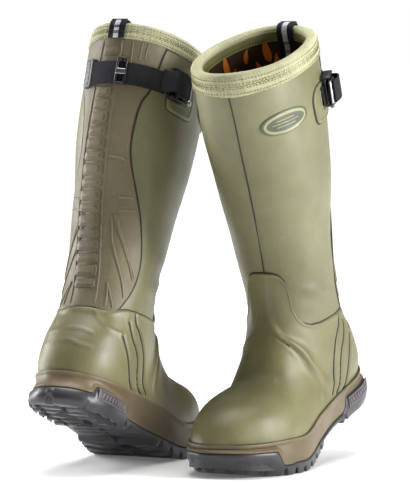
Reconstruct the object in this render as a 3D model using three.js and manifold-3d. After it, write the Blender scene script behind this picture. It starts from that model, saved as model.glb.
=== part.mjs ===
// A pair of insulated rubber-and-neoprene field boots, standing on their forefeet with the heels raised.
// Millimetres, +Z up. Each boot is designed flat (sole on z = 0, heel at y = 0, toe at +y, outer side of the foot at +x),
// cut across the ball of the foot, and its rear part is turned up about the ball axis. The left boot mirrors the right one.
import * as THREE from 'three';
import { mergeVertices } from 'three/addons/utils/BufferGeometryUtils.js';
import Module from 'manifold-3d';

const wasm = await Module();
wasm.setup();

// ---------- driving dimensions ----------
const GAP = 0.3; // running gap between neighbouring pieces
const RUBBER_SHELL = 3.0; // foot shell wall
const RUBBER_SHAFT = 2.6; // shaft wall
const NEOPRENE = 4.2; // insulated lining wall
const BINDING = 1.7; // folded tape at the rim
const CUFF_T = 0.52; // station where the tape ends outside
const CUFF_IN_T = 0.42; // station where the tape ends inside
const SHAFT_LOW_T = 6.3; // station where the shaft meets the foot shell
const BALL_Y = 200; // ball axis, from the heel
const BALL_Z = 4;
const WEDGE = 13; // degrees relieved on each side of the ball axis for the bend
const RIGHT = { x: -70.8, y: 57.3, yaw: 64.4, heelUp: 21.35 }; // where the ball axis stands, toe direction, heel angle
const LEFT = { x: 57.8, y: -34.9, yaw: 242.3, heelUp: 18.4 };
const STRAP_W = 25; // calf strap webbing width
const STRAP_T = 1.6;

// Sections from rim to toe: front/top point (y, z), back/bottom point (y, z), half width, centre x,
// share of the length below the widest line, exponents of the upper and lower half.
const KEYS = [
  [164.5, 412.0, -3.0, 411.0, 54.5, 0, 0.5, 2.15, 2.15],
  [163.0, 380.0, -2.5, 384.0, 57.0, 0, 0.5, 2.15, 2.15],
  [157.5, 330.0, 1.0, 334.0, 58.0, 0, 0.5, 2.15, 2.15],
  [148.5, 280.0, 7.5, 281.0, 55.5, 0, 0.5, 2.15, 2.15],
  [140.5, 235.0, 17.0, 230.0, 50.5, 0, 0.5, 2.15, 2.15],
  [135.5, 198.0, 25.0, 185.0, 46.5, 0, 0.5, 2.2, 2.2],
  [132.0, 170.0, 27.0, 146.0, 44.5, 0, 0.5, 2.2, 2.2],
  [137.5, 148.0, 19.5, 105.0, 42.0, 0, 0.48, 2.2, 2.3],
  [147.0, 132.0, 3.0, 68.0, 43.5, 0, 0.45, 2.2, 2.4],
  [158.0, 120.0, 1.5, 36.0, 45.0, 0, 0.42, 2.2, 2.5],
  [171.0, 111.5, 23.5, 14.0, 44.5, 0, 0.38, 2.2, 2.6],
  [182.5, 104.5, 64.0, 12.0, 45.0, 0, 0.34, 2.2, 2.6],
  [194.0, 98.5, 110.0, 12.0, 46.5, 1, 0.32, 2.2, 2.6],
  [207.0, 93.0, 155.0, 12.0, 48.5, 2, 0.32, 2.2, 2.6],
  [222.0, 87.5, 195.0, 12.0, 51.0, 1, 0.34, 2.3, 2.6],
  [240.0, 80.0, 228.0, 12.0, 51.5, -1, 0.36, 2.4, 2.6],
  [260.0, 73.5, 256.0, 12.0, 46.5, -3, 0.38, 2.4, 2.6],
  [278.0, 65.5, 277.5, 13.0, 37.0, -5, 0.4, 2.3, 2.5],
  [291.5, 54.5, 291.5, 17.0, 26.0, -6, 0.42, 2.2, 2.3],
  [299.5, 42.0, 299.5, 23.0, 12.0, -7, 0.45, 2.1, 2.1],
  [301.5, 33.0, 301.5, 31.0, 0.5, -7, 0.5, 2.0, 2.0],
];
// Outsole outline, seen from above.
const OUTLINE = [
  [0, -8], [20, -4], [35, 10], [43, 38], [43, 75], [43, 110], [48, 150], [54, 185], [57, 215], [55, 245], [46, 275], [28, 299],
  [-8, 309], [-29, 303], [-45, 285], [-53, 255], [-55, 225], [-51, 190], [-45, 150], [-41, 110], [-41, 75], [-41, 38], [-33, 10], [-18, -5],
];

const DEG = Math.PI / 180;
const LAST = KEYS.length - 1;

// ---------- surface of the boot ----------
function section(t) {
  t = Math.min(Math.max(t, -0.2), LAST - 1e-9);
  const i = Math.min(Math.max(Math.floor(t), 0), LAST - 1);
  const f = t - i;
  const p1 = KEYS[i];
  const p2 = KEYS[i + 1];
  const p0 = i > 0 ? KEYS[i - 1] : p1.map((v, k) => 2 * v - p2[k]);
  const p3 = i + 2 <= LAST ? KEYS[i + 2] : p2.map((v, k) => 2 * v - p1[k]);
  return p1.map((v, k) => 0.5 * (2 * v + (-p0[k] + p2[k]) * f + (2 * p0[k] - 5 * v + 4 * p2[k] - p3[k]) * f * f + (-p0[k] + 3 * v - 3 * p2[k] + p3[k]) * f ** 3));
}
const spow = (c, e) => Math.sign(c) * Math.abs(c) ** e;
function surface(t, phi) {
  const [dy0, dz0, by, bz, w, xc, c, nu, nl] = section(t);
  const dy = dy0 - by;
  const dz = dz0 - bz;
  const length = Math.hypot(dy, dz) + 1e-9;
  const cs = Math.cos(phi);
  const sn = Math.sin(phi);
  const n = cs >= 0 ? nu : nl;
  const s = (cs >= 0 ? (1 - c) * length : c * length) * spow(cs, 2 / n);
  const m = c * length + s;
  return new THREE.Vector3(xc + w * spow(sn, 2 / n), by + (dy / length) * m, bz + (dz / length) * m);
}
function normal(t, phi) {
  const a = surface(Math.min(t + 0.05, LAST - 0.02), phi).sub(surface(Math.min(t - 0.05, LAST - 0.12), phi));
  const b = surface(Math.min(t, LAST - 0.05), phi + 0.04).sub(surface(Math.min(t, LAST - 0.05), phi - 0.04));
  return b.cross(a).normalize();
}
// The surface is used as facets between fixed stations and spokes, so that neighbouring layers stay parallel.
const SPOKES = 18;
const LINES = [0, 0.5, 1, 2, 3, 4, 5, 6, 7, 8, 9, 10, 11, 13, 15, 17, 18, 19, 19.6, 20];
const spoke = (k) => (k / SPOKES) * 2 * Math.PI;
const cache = new Map();
function node(t, k) {
  const key = t.toFixed(4) + '|' + (((k % SPOKES) + SPOKES) % SPOKES);
  if (!cache.has(key)) cache.set(key, [surface(t, spoke(k)), normal(t, spoke(k))]);
  return cache.get(key);
}
function layer(t, phi, off) {
  // a point at a height off above the facets
  let i = 0;
  while (i + 2 < LINES.length && LINES[i + 1] <= t + 1e-6) i++;
  const t0 = LINES[i];
  const t1 = LINES[i + 1];
  const ft = (t - t0) / (t1 - t0);
  const u = (phi / (2 * Math.PI)) * SPOKES;
  const k = Math.floor(u + 1e-6);
  const fu = u - k;
  const p = new THREE.Vector3();
  for (const [tt, wt] of [[t0, 1 - ft], [t1, ft]])
    for (const [kk, wk] of [[k, 1 - fu], [k + 1, fu]]) {
      if (wt * wk < 1e-6) continue;
      const [q, n] = node(tt, kk);
      p.addScaledVector(q, wt * wk).addScaledVector(n, wt * wk * off);
    }
  return p;
}

// ---------- mesh helpers ----------
function geometryOf(points, triangles) {
  const g = new THREE.BufferGeometry();
  g.setAttribute('position', new THREE.Float32BufferAttribute(points.flatMap((p) => [p.x, p.y, p.z]), 3));
  g.setIndex(triangles.flat());
  g.computeVertexNormals();
  return g;
}
function solidOf(geometry) {
  const g = new THREE.BufferGeometry();
  const source = geometry.index ? geometry.toNonIndexed() : geometry;
  g.setAttribute('position', source.getAttribute('position').clone());
  const m = mergeVertices(g, 1e-4);
  const made = new wasm.Manifold(new wasm.Mesh({ numProp: 3, vertProperties: m.attributes.position.array, triVerts: new Uint32Array(m.index.array) }));
  return made;
}
function faced(geometry) {
  // the same geometry with its faces pointing out
  if (solidOf(geometry).volume() >= 0) return geometry;
  const idx = geometry.index.array;
  for (let i = 0; i < idx.length; i += 3) [idx[i + 1], idx[i + 2]] = [idx[i + 2], idx[i + 1]];
  geometry.computeVertexNormals();
  return geometry;
}
function back(solid) {
  const m = solid.getMesh();
  const g = new THREE.BufferGeometry();
  g.setAttribute('position', new THREE.BufferAttribute(new Float32Array(m.vertProperties), 3));
  g.setIndex(new THREE.BufferAttribute(new Uint32Array(m.triVerts), 1));
  g.computeVertexNormals();
  return g;
}
function stations(t0, t1) {
  return [t0, ...LINES.filter((t) => t > t0 + 1e-4 && t < t1 - 1e-4), t1];
}
// A wall between two offsets of the boot surface, all the way round; with toe true it closes over the toe.
function wall(ts, outer, inner, toe = false) {
  const points = [];
  const rows = [];
  for (const [off, list] of [[outer, ts], [inner, ts]])
    for (const t of list) {
      const row = [];
      for (let k = 0; k < SPOKES; k++) {
        row.push(points.length);
        points.push(typeof off === 'function' ? off(t, spoke(k)) : layer(t, spoke(k), off));
      }
      rows.push(row);
    }
  const n = ts.length;
  const triangles = [];
  const band = (a, b, flip) => {
    for (let k = 0; k < SPOKES; k++) {
      const l = (k + 1) % SPOKES;
      const q = flip ? [[a[k], b[l], b[k]], [a[k], a[l], b[l]]] : [[a[k], b[k], b[l]], [a[k], b[l], a[l]]];
      triangles.push(...q);
    }
  };
  for (let i = 0; i + 1 < n; i++) {
    band(rows[i], rows[i + 1], false);
    band(rows[n + i], rows[n + i + 1], true);
  }
  band(rows[0], rows[n], true);
  if (!toe) band(rows[n - 1], rows[2 * n - 1], false);
  else
    for (const [row, flip] of [[rows[n - 1], false], [rows[2 * n - 1], true]]) {
      const c = new THREE.Vector3();
      for (const i of row) c.add(points[i]);
      c.divideScalar(SPOKES);
      const tip = points.length;
      points.push(c);
      for (let k = 0; k < SPOKES; k++) triangles.push(flip ? [row[k], row[(k + 1) % SPOKES], tip] : [row[k], tip, row[(k + 1) % SPOKES]]);
    }
  return faced(geometryOf(points, triangles));
}
// The closed space inside an offset of the boot surface.
function core(ts, off) {
  const points = [];
  const rows = ts.map((t) => {
    const row = [];
    for (let k = 0; k < SPOKES; k++) {
      row.push(points.length);
      points.push(layer(t, spoke(k), off));
    }
    return row;
  });
  const triangles = [];
  for (let i = 0; i + 1 < rows.length; i++)
    for (let k = 0; k < SPOKES; k++) {
      const l = (k + 1) % SPOKES;
      triangles.push([rows[i][k], rows[i + 1][k], rows[i + 1][l]], [rows[i][k], rows[i + 1][l], rows[i][l]]);
    }
  for (const [row, flip] of [[rows[0], true], [rows[rows.length - 1], false]]) {
    const c = new THREE.Vector3();
    for (const i of row) c.add(points[i]);
    c.divideScalar(SPOKES);
    const tip = points.length;
    points.push(c);
    for (let k = 0; k < SPOKES; k++) triangles.push(flip ? [row[k], row[(k + 1) % SPOKES], tip] : [row[k], tip, row[(k + 1) % SPOKES]]);
  }
  return faced(geometryOf(points, triangles));
}
// A plate lying on the surface between two heights, over a grid of stations and angles (degrees);
// at(i, j) may move the angle of a corner.
function plate(ts, phis, low, high) {
  const lines = [];
  const pitch = 360 / SPOKES;
  for (let d = Math.ceil(phis[0] / pitch + 1e-6) * pitch; d < phis[phis.length - 1] - 1e-6; d += pitch) lines.push(d);
  const angles = [...new Set([...phis, ...lines].map((v) => +v.toFixed(3)))].sort((a, b) => a - b).filter((v, i, s) => i === 0 || v - s[i - 1] > 0.6);
  const halves = LINES.filter((t) => t > ts[0] + 1e-6 && t < ts[ts.length - 1] - 1e-6);
  const list = [...new Set([...ts, ...halves].map((v) => +v.toFixed(4)))].sort((a, b) => a - b).filter((v, i, s) => i === 0 || v - s[i - 1] > 0.02);
  return slab(list.map((t) => angles.map((a) => [layer(t, a * DEG, low), layer(t, a * DEG, high)])));
}
// A closed slab from a grid of [low, high] point pairs.
function slab(grid) {
  const points = [];
  const id = grid.map((row) => row.map((pair) => pair.map((p) => points.push(p) - 1)));
  const triangles = [];
  const quad = (a, b, c, d) => triangles.push([a, b, c], [a, c, d]);
  const R = id.length;
  const C = id[0].length;
  for (let i = 0; i + 1 < R; i++)
    for (let j = 0; j + 1 < C; j++) {
      quad(id[i][j][1], id[i + 1][j][1], id[i + 1][j + 1][1], id[i][j + 1][1]);
      quad(id[i][j][0], id[i][j + 1][0], id[i + 1][j + 1][0], id[i + 1][j][0]);
    }
  for (let i = 0; i + 1 < R; i++) {
    quad(id[i][0][0], id[i + 1][0][0], id[i + 1][0][1], id[i][0][1]);
    quad(id[i][C - 1][1], id[i + 1][C - 1][1], id[i + 1][C - 1][0], id[i][C - 1][0]);
  }
  for (let j = 0; j + 1 < C; j++) {
    quad(id[0][j][1], id[0][j + 1][1], id[0][j + 1][0], id[0][j][0]);
    quad(id[R - 1][j][0], id[R - 1][j + 1][0], id[R - 1][j + 1][1], id[R - 1][j][1]);
  }
  return faced(geometryOf(points, triangles));
}
// Prisms: an outline in the side view run across the boot, and an outline in plan run upward.
function sidePrism(outline, x0, x1) {
  const shape = new THREE.Shape(outline.map(([y, z]) => new THREE.Vector2(y, z)));
  const g = new THREE.ExtrudeGeometry(shape, { depth: x1 - x0, bevelEnabled: false, steps: 1 });
  g.applyMatrix4(new THREE.Matrix4().makeBasis(new THREE.Vector3(0, 1, 0), new THREE.Vector3(0, 0, 1), new THREE.Vector3(1, 0, 0)).setPosition(x0, 0, 0));
  return solidOf(g);
}
function planPrism(outline, z0, z1) {
  const shape = new THREE.Shape(outline.map(([x, y]) => new THREE.Vector2(x, y)));
  const g = new THREE.ExtrudeGeometry(shape, { depth: z1 - z0, bevelEnabled: false, steps: 1 });
  g.translate(0, 0, z0);
  return solidOf(g);
}
function boxSolid(x0, x1, y0, y1, z0, z1) {
  return solidOf(new THREE.BoxGeometry(x1 - x0, y1 - y0, z1 - z0).translate((x0 + x1) / 2, (y0 + y1) / 2, (z0 + z1) / 2));
}
function inset(outline, d) {
  const n = outline.length;
  return outline.map(([x, y], i) => {
    const [ax, ay] = outline[(i + n - 1) % n];
    const [bx, by] = outline[(i + 1) % n];
    const l = Math.hypot(bx - ax, by - ay);
    return [x - ((by - ay) / l) * d, y + ((bx - ax) / l) * d];
  });
}

// ---------- the two halves of the foot ----------
const slope = Math.tan(WEDGE * DEG);
const foreRegion = sidePrism([[BALL_Y + 0.6, -20], [BALL_Y + 0.6, BALL_Z], [BALL_Y + 0.6 + slope * 200, BALL_Z + 200], [420, BALL_Z + 200], [420, -20]], -120, 120);
const rearRegion = sidePrism([[BALL_Y - 0.6, -20], [-60, -20], [-60, 460], [BALL_Y - 0.6 - slope * 456, 460], [BALL_Y - 0.6, BALL_Z]], -120, 120);

// sole profiles: underside and top edge of the side wall, along the length
const midTop = (y) => {
  const table = [[-12, 42], [0, 41], [60, 39], [120, 37], [200, 35], [260, 34], [312, 34]];
  for (let i = 0; i + 1 < table.length; i++)
    if (y <= table[i + 1][0]) return table[i][1] + ((table[i + 1][1] - table[i][1]) * (y - table[i][0])) / (table[i + 1][0] - table[i][0]);
  return 34;
};
const FLOOR_OUT = 6.2; // top of the outsole's floor
const footStations = stations(SHAFT_LOW_T, LAST - 0.1);
const shellCore = solidOf(core(footStations, GAP));

const midsoleTopCut = sidePrism([[-40, midTop(-12)], [0, midTop(0)], [60, midTop(60)], [120, midTop(120)], [200, midTop(200)], [330, midTop(320)], [330, 200], [-40, 200]], -120, 120);
const midsoleOutline = inset(OUTLINE, 2.6);
const midsoleWhole = planPrism(midsoleOutline, FLOOR_OUT + GAP, 60).subtract(midsoleTopCut).subtract(shellCore);
const outsoleRecess = planPrism(inset(OUTLINE, 2.3), FLOOR_OUT, 80);
const outsoleTopCut = sidePrism([[-40, 19], [20, 20], [90, 20], [110, 12], [150, 12], [180, 15], [235, 16], [262, 21], [330, 23], [330, 100], [-40, 100]], -120, 120);
const outsoleBody = planPrism(OUTLINE, 0, 60).subtract(outsoleTopCut).subtract(outsoleRecess);
// underside: toe spring, arch and the channels between the lugs
const toeSpring = sidePrism([[252, -1], [282, 2.2], [325, 9], [325, -5], [252, -5]], -120, 120);
const archCut = sidePrism([[90, -1], [94, 5.6 - 0.8], [138, 5.6 - 1.6], [148, -1]], -120, 120);
let outsole = outsoleBody.subtract(toeSpring).subtract(archCut);
for (const [y, w] of [[160, 5], [181, 5], [214, 5], [234, 5], [255, 5], [276, 5]]) outsole = outsole.subtract(boxSolid(-70, 70, y - w / 2, y + w / 2, -6, 3.4));
for (const y of [18, 42, 66]) outsole = outsole.subtract(boxSolid(-70, 70, y - 2.5, y + 2.5, -6, 3.4));
const shankPocket = boxSolid(-13 - GAP, 13 + GAP, 62 - GAP, 148 + GAP, 8.9, 30);
const heelWindow = boxSolid(40.6, 60, 20, 56, 9.5, 18); // side window for the heel plate

const shellWhole = solidOf(wall(footStations, 0, -RUBBER_SHELL, true));
const liningWhole = solidOf(wall(footStations, -RUBBER_SHELL - GAP, -RUBBER_SHELL - GAP - NEOPRENE, true));
const boardZ0 = 12 + RUBBER_SHELL + GAP;
const boardPocket = boxSolid(-80, 80, 24 - GAP, 180 + GAP, 0, boardZ0 + 1.8);
const board = solidOf(core(footStations, -RUBBER_SHELL - GAP)).intersect(boxSolid(-80, 80, 24, 180, boardZ0, boardZ0 + 1.5));
const hollow = solidOf(core(footStations, -RUBBER_SHELL - 2 * GAP - NEOPRENE));
const bedZ = 12 + RUBBER_SHELL + NEOPRENE + 3 * GAP;
const footbed = hollow.intersect(boxSolid(-80, 80, 10, 330, bedZ, bedZ + 4.5));

// ---------- materials ----------
const MATERIAL = {
  outsole: [0x55565a, 0.7, 0], midsole: [0x8a7a5c, 0.62, 0], shell: [0x8b8b63, 0.6, 0], shaft: [0x8f9068, 0.6, 0], panel: [0x857a60, 0.7, 0],
  binding: [0xc8c794, 0.85, 0], webbing: [0x1d1d20, 0.9, 0], hard: [0x2a2b2e, 0.45, 0], metal: [0x9a9ca0, 0.35, 0.9], lining: [0x3a2518, 0.95, 0],
  footbed: [0x2b2b2b, 0.95, 0], shank: [0x8d9096, 0.4, 0.9], board: [0x9a8763, 0.9, 0], badge: [0xa6a577, 0.5, 0],
};
const meshes = { fore: [], rear: [], slider: [], lever: [] };
function piece(half, name, geometry, material) {
  const g = geometry.isBufferGeometry ? geometry : back(geometry);
  const [color, roughness, metalness] = MATERIAL[material];
  meshes[half].push({ name, g, color, roughness, metalness });
}

// foot, fore half
piece('fore', 'outsole_fore', outsole.intersect(foreRegion), 'outsole');
piece('fore', 'midsole_fore', midsoleWhole.intersect(foreRegion), 'midsole');
piece('fore', 'toe_shell', shellWhole.intersect(foreRegion), 'shell');
piece('fore', 'toe_lining', liningWhole.intersect(foreRegion), 'lining');
piece('fore', 'footbed_fore', footbed.intersect(foreRegion), 'footbed');

// foot, rear half
piece('rear', 'outsole_rear', outsole.intersect(rearRegion).subtract(heelWindow), 'outsole');
piece('rear', 'midsole_rear', midsoleWhole.subtract(shankPocket).intersect(rearRegion), 'midsole');
piece('rear', 'heel_shell', shellWhole.intersect(rearRegion), 'shell');
piece('rear', 'foot_lining', liningWhole.subtract(boardPocket).intersect(rearRegion), 'lining');
piece('rear', 'footbed_rear', footbed.intersect(rearRegion), 'footbed');
piece('rear', 'shank', boxSolid(-13, 13, 62, 148, 9.2, 11.5), 'shank');
piece('rear', 'insole_board', board.intersect(rearRegion), 'board');

// shaft and what is on it
const shaftStations = stations(0.1, SHAFT_LOW_T - 0.04);
piece('rear', 'shaft', wall(shaftStations, 0, -RUBBER_SHAFT), 'shaft');
piece('rear', 'shaft_lining', wall(shaftStations, -RUBBER_SHAFT - GAP, -RUBBER_SHAFT - GAP - NEOPRENE), 'lining');

// rim tape: a folded ring over the shaft and its lining
{
  const inFace = -RUBBER_SHAFT - 2 * GAP - NEOPRENE;
  const outline = [[GAP, CUFF_T], [GAP + BINDING, CUFF_T], [GAP + BINDING, 0], [inFace - BINDING, 0], [inFace - BINDING, CUFF_IN_T], [inFace, CUFF_IN_T], [inFace, 0.09], [GAP, 0.09]];
  const points = [];
  const triangles = [];
  for (let k = 0; k < SPOKES; k++) for (const [off, t] of outline) points.push(layer(t, spoke(k), off));
  const m = outline.length;
  for (let k = 0; k < SPOKES; k++)
    for (let j = 0; j < m; j++) {
      const a = k * m + j;
      const b = k * m + ((j + 1) % m);
      const c = ((k + 1) % SPOKES) * m + ((j + 1) % m);
      const d = ((k + 1) % SPOKES) * m + j;
      triangles.push([a, b, c], [a, c, d]);
    }
  piece('rear', 'cuff_binding', faced(geometryOf(points, triangles)), 'binding');
}
// pull strap: webbing over the rim at the back
{
  const inFace = -RUBBER_SHAFT - 2 * GAP - NEOPRENE - BINDING - GAP;
  const run = [[GAP + BINDING + GAP, CUFF_T + 0.04], [GAP + BINDING + GAP, 0.25], [GAP + BINDING + GAP, -0.1], [inFace, -0.1], [inFace, 0.25], [inFace, 0.5], [inFace, 1], [inFace, 1.5], [inFace, 2]];
  const rise = [0, 0, 1, 1, 0, 0, 0, 0, 0];
  const half = 9.2; // degrees either side of the back line
  const grid = run.map(([off, t], i) => [180 - half, 180, 180 + half].map((a) => {
    const outside = off > 0;
    const top = rise[i];
    const low = layer(Math.max(t, 0), a * DEG, off);
    const high = layer(Math.max(t, 0), a * DEG, off + (outside ? 1.6 : -1.6));
    if (top) {
      low.z += 0.5;
      high.z += 2.2;
    }
    return [low, high];
  }));
  piece('rear', 'pull_strap', slab(grid), 'webbing');
}
// overlay panel down the back of the shaft
piece('rear', 'back_panel', plate([CUFF_T + 0.1, 1, 2, 3, 4, 5, 6, SHAFT_LOW_T - 0.1], [140, 160, 180, 200, 216], GAP, GAP + 1.4), 'panel');
// calf strap: keeper, webbing, free end, anchor patch
const SKIN = GAP + 1.4 + GAP; // clear of the back panel
piece('rear', 'strap_keeper', plate([1.2, 1.5, 1.8], [217, 228], GAP, GAP + 4.6), 'hard');
piece('rear', 'calf_strap', plate([1.28, 1.53, 1.78], [129, 140, 160, 180, 200, 215.5], SKIN, SKIN + STRAP_T), 'webbing');
piece('rear', 'strap_anchor', plate([1.25, 1.5, 2, 2.15], [80, 90, 108, 125], GAP, GAP + 1.5), 'shaft');
piece('rear', 'badge', plate([1.36, 1.58, 1.8], [34, 50, 66, 78], GAP, GAP + 1.3), 'badge');
piece('rear', 'heel_plate', boxSolid(41, 43.6, 20 + GAP, 56 - GAP, 9.5 + GAP, 18 - GAP), 'badge');

// A frame standing on the surface: x along the strap (towards larger angle), y up the shaft, z outward.
function standing(t, degrees, off) {
  const p = layer(t, degrees * DEG, off);
  const x = layer(t, (degrees + 4) * DEG, off).sub(layer(t, (degrees - 4) * DEG, off)).normalize();
  const up = layer(t - 0.1, degrees * DEG, off).sub(layer(t + 0.1, degrees * DEG, off));
  const z = x.clone().cross(up).normalize();
  if (z.dot(normal(t, degrees * DEG)) < 0) z.negate();
  const y = z.clone().cross(x).normalize();
  return new THREE.Matrix4().makeBasis(x, y, z).setPosition(p);
}
const box = (x, y, z, cx = 0, cy = 0, cz = 0) => new THREE.BoxGeometry(x, y, z).translate(cx, cy, cz);
// buckle: frame with side cheeks, a cross bar, and a cam lever that turns on the bar
const buckle = standing(1.53, 117, SKIN);
const cheeks = solidOf(box(20, 32, 1.8, 0, 0, 0.9)).add(solidOf(box(20, 2, 9, 0, 15, 4.5))).add(solidOf(box(20, 2, 9, 0, -15, 4.5)));
piece('rear', 'buckle_frame', back(cheeks).applyMatrix4(buckle), 'hard');
piece('rear', 'buckle_bar', new THREE.CylinderGeometry(1.2, 1.2, 27.4, 10).translate(0, 0, 6).applyMatrix4(buckle), 'metal');
const barHole = solidOf(new THREE.CylinderGeometry(1.45, 1.45, 40, 10).translate(0, 0, 6));
const lever = solidOf(box(18, 26.6, 3.2, -6, 0, 6)).add(solidOf(new THREE.CylinderGeometry(3, 3, 26.6, 12).translate(0, 0, 6))).subtract(barHole);
piece('lever', 'buckle_lever', back(lever).applyMatrix4(buckle), 'hard');
// strap free end, folded back over the anchor patch
piece('rear', 'strap_end', plate([1.3, 1.5, 1.76], [88, 98, 104], GAP + 1.5 + GAP, GAP + 1.5 + GAP + 3.0), 'webbing');
// slider: a window frame round the webbing with a metal cross bar on top
const slide = standing(1.53, 170, SKIN);
const ring = solidOf(box(9, 31, 6.4, 0, 0, 1.6)).subtract(solidOf(box(12, 27, 3.4, 0, 0, 0.8)));
const half = back(ring.subtract(solidOf(box(20, 40, 10, 0, 0, -5)))); // open below: it clips over the webbing
piece('slider', 'strap_slider', half.applyMatrix4(slide), 'hard');
piece('slider', 'slider_bar', box(2.2, 24, 1.6, 0, 0, 4.8 + GAP + 0.8).applyMatrix4(slide), 'metal');

// ---------- the pair ----------
function boot(side, { x, y, yaw, heelUp }) {
  const whole = new THREE.Group();
  const mirror = side === 'left' ? -1 : 1;
  whole.position.set(x, y, 0);
  whole.rotation.z = (yaw - 90) * DEG;
  whole.scale.x = mirror;
  const halves = {};
  for (const key of ['fore', 'rear']) {
    const g = new THREE.Group();
    g.position.z = BALL_Z;
    if (key === 'rear') g.rotation.x = -heelUp * DEG;
    whole.add(g);
    halves[key] = g;
  }
  for (const key of Object.keys(meshes))
    for (const m of meshes[key]) {
      const mesh = new THREE.Mesh(m.g, new THREE.MeshStandardMaterial({ color: m.color, roughness: m.roughness, metalness: m.metalness }));
      mesh.name = side + '_' + m.name;
      mesh.position.set(0, -BALL_Y, -BALL_Z);
      halves[key === 'fore' ? 'fore' : 'rear'].add(mesh);
    }
  return whole;
}
const pair = new THREE.Group();
pair.add(boot('right', RIGHT), boot('left', LEFT));
// the origin is the middle of the footprint, on the ground
pair.updateMatrixWorld(true);
const extent = new THREE.Box3().setFromObject(pair, true);
pair.position.set(-(extent.min.x + extent.max.x) / 2, -(extent.min.y + extent.max.y) / 2, -extent.min.z);

// pivots in the pair's frame
pair.updateMatrixWorld(true);
pair.userData.pivots = pair.children.map((b) => {
  const m = b.children[1].matrixWorld.clone().multiply(new THREE.Matrix4().makeTranslation(0, -BALL_Y, -BALL_Z));
  const frame = (local, y) => {
    const w = m.clone().multiply(local);
    return { at: new THREE.Vector3(0, 0, y).applyMatrix4(w).toArray(), x: new THREE.Vector3(1, 0, 0).transformDirection(w).toArray(), y: new THREE.Vector3(0, 1, 0).transformDirection(w).toArray() };
  };
  return { ball: new THREE.Vector3(0, 0, BALL_Z).add(b.position).add(pair.position).toArray(), buckle: frame(buckle, 6), slider: frame(slide, 2) };
});

export default pair;
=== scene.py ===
import math

import bpy
import numpy as np
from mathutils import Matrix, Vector


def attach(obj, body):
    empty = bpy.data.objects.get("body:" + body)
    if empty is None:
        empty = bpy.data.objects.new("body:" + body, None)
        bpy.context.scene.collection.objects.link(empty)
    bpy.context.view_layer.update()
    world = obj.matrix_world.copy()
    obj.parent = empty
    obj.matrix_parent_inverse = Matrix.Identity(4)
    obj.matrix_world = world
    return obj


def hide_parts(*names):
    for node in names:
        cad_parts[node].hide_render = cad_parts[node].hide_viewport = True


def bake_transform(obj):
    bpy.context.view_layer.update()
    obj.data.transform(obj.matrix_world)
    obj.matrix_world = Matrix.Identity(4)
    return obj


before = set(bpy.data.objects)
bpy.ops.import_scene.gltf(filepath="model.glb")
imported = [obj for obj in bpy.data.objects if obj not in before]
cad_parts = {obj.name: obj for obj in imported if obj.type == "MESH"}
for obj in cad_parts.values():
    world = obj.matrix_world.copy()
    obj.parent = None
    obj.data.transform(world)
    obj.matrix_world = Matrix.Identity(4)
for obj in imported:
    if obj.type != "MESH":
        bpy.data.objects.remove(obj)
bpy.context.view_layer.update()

rng = np.random.default_rng(11)

# ---------------------------------------------------------------- the boots' own shape, millimetres, flat on the ground
KEYS = np.array([
    [164.5, 412.0, -3.0, 411.0, 54.5, 0, .50, 2.15, 2.15], [163.0, 380.0, -2.5, 384.0, 57.0, 0, .50, 2.15, 2.15],
    [157.5, 330.0, 1.0, 334.0, 58.0, 0, .50, 2.15, 2.15], [148.5, 280.0, 7.5, 281.0, 55.5, 0, .50, 2.15, 2.15],
    [140.5, 235.0, 17.0, 230.0, 50.5, 0, .50, 2.15, 2.15], [135.5, 198.0, 25.0, 185.0, 46.5, 0, .50, 2.2, 2.2],
    [132.0, 170.0, 27.0, 146.0, 44.5, 0, .50, 2.2, 2.2], [137.5, 148.0, 19.5, 105.0, 42.0, 0, .48, 2.2, 2.3],
    [147.0, 132.0, 3.0, 68.0, 43.5, 0, .45, 2.2, 2.4], [158.0, 120.0, 1.5, 36.0, 45.0, 0, .42, 2.2, 2.5],
    [171.0, 111.5, 23.5, 14.0, 44.5, 0, .38, 2.2, 2.6], [182.5, 104.5, 64.0, 12.0, 45.0, 0, .34, 2.2, 2.6],
    [194.0, 98.5, 110.0, 12.0, 46.5, 1, .32, 2.2, 2.6], [207.0, 93.0, 155.0, 12.0, 48.5, 2, .32, 2.2, 2.6],
    [222.0, 87.5, 195.0, 12.0, 51.0, 1, .34, 2.3, 2.6], [240.0, 80.0, 228.0, 12.0, 51.5, -1, .36, 2.4, 2.6],
    [260.0, 73.5, 256.0, 12.0, 46.5, -3, .38, 2.4, 2.6], [278.0, 65.5, 277.5, 13.0, 37.0, -5, .40, 2.3, 2.5],
    [291.5, 54.5, 291.5, 17.0, 26.0, -6, .42, 2.2, 2.3], [299.5, 42.0, 299.5, 23.0, 12.0, -7, .45, 2.1, 2.1],
    [301.5, 33.0, 301.5, 31.0, 0.5, -7, .50, 2.0, 2.0]])
OUTLINE = np.array([
    [0, -8], [20, -4], [35, 10], [43, 38], [43, 75], [43, 110], [48, 150], [54, 185], [57, 215], [55, 245], [46, 275], [28, 299],
    [-6, 308], [-26, 301], [-42, 284], [-50.5, 255], [-54, 225], [-51, 190], [-45, 150], [-41, 110], [-41, 75], [-41, 38], [-33, 10],
    [-18, -5]], float)
KEYS[16:20, 4] -= 1.4
KEYS[16:20, 5] += 1.4
LAST = len(KEYS) - 1
BOOTS = {"right": dict(x=-70.8, y=57.3, yaw=64.4, up=21.35, m=1.0), "left": dict(x=57.8, y=-34.9, yaw=242.3, up=18.4, m=-1.0)}
SHIFT = np.array([1.4191387907, -16.2279024389, 0.0])
BALL = np.array([0.0, 200.0, 4.0])
BEND0, BEND1 = 150.0, 235.0


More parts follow.
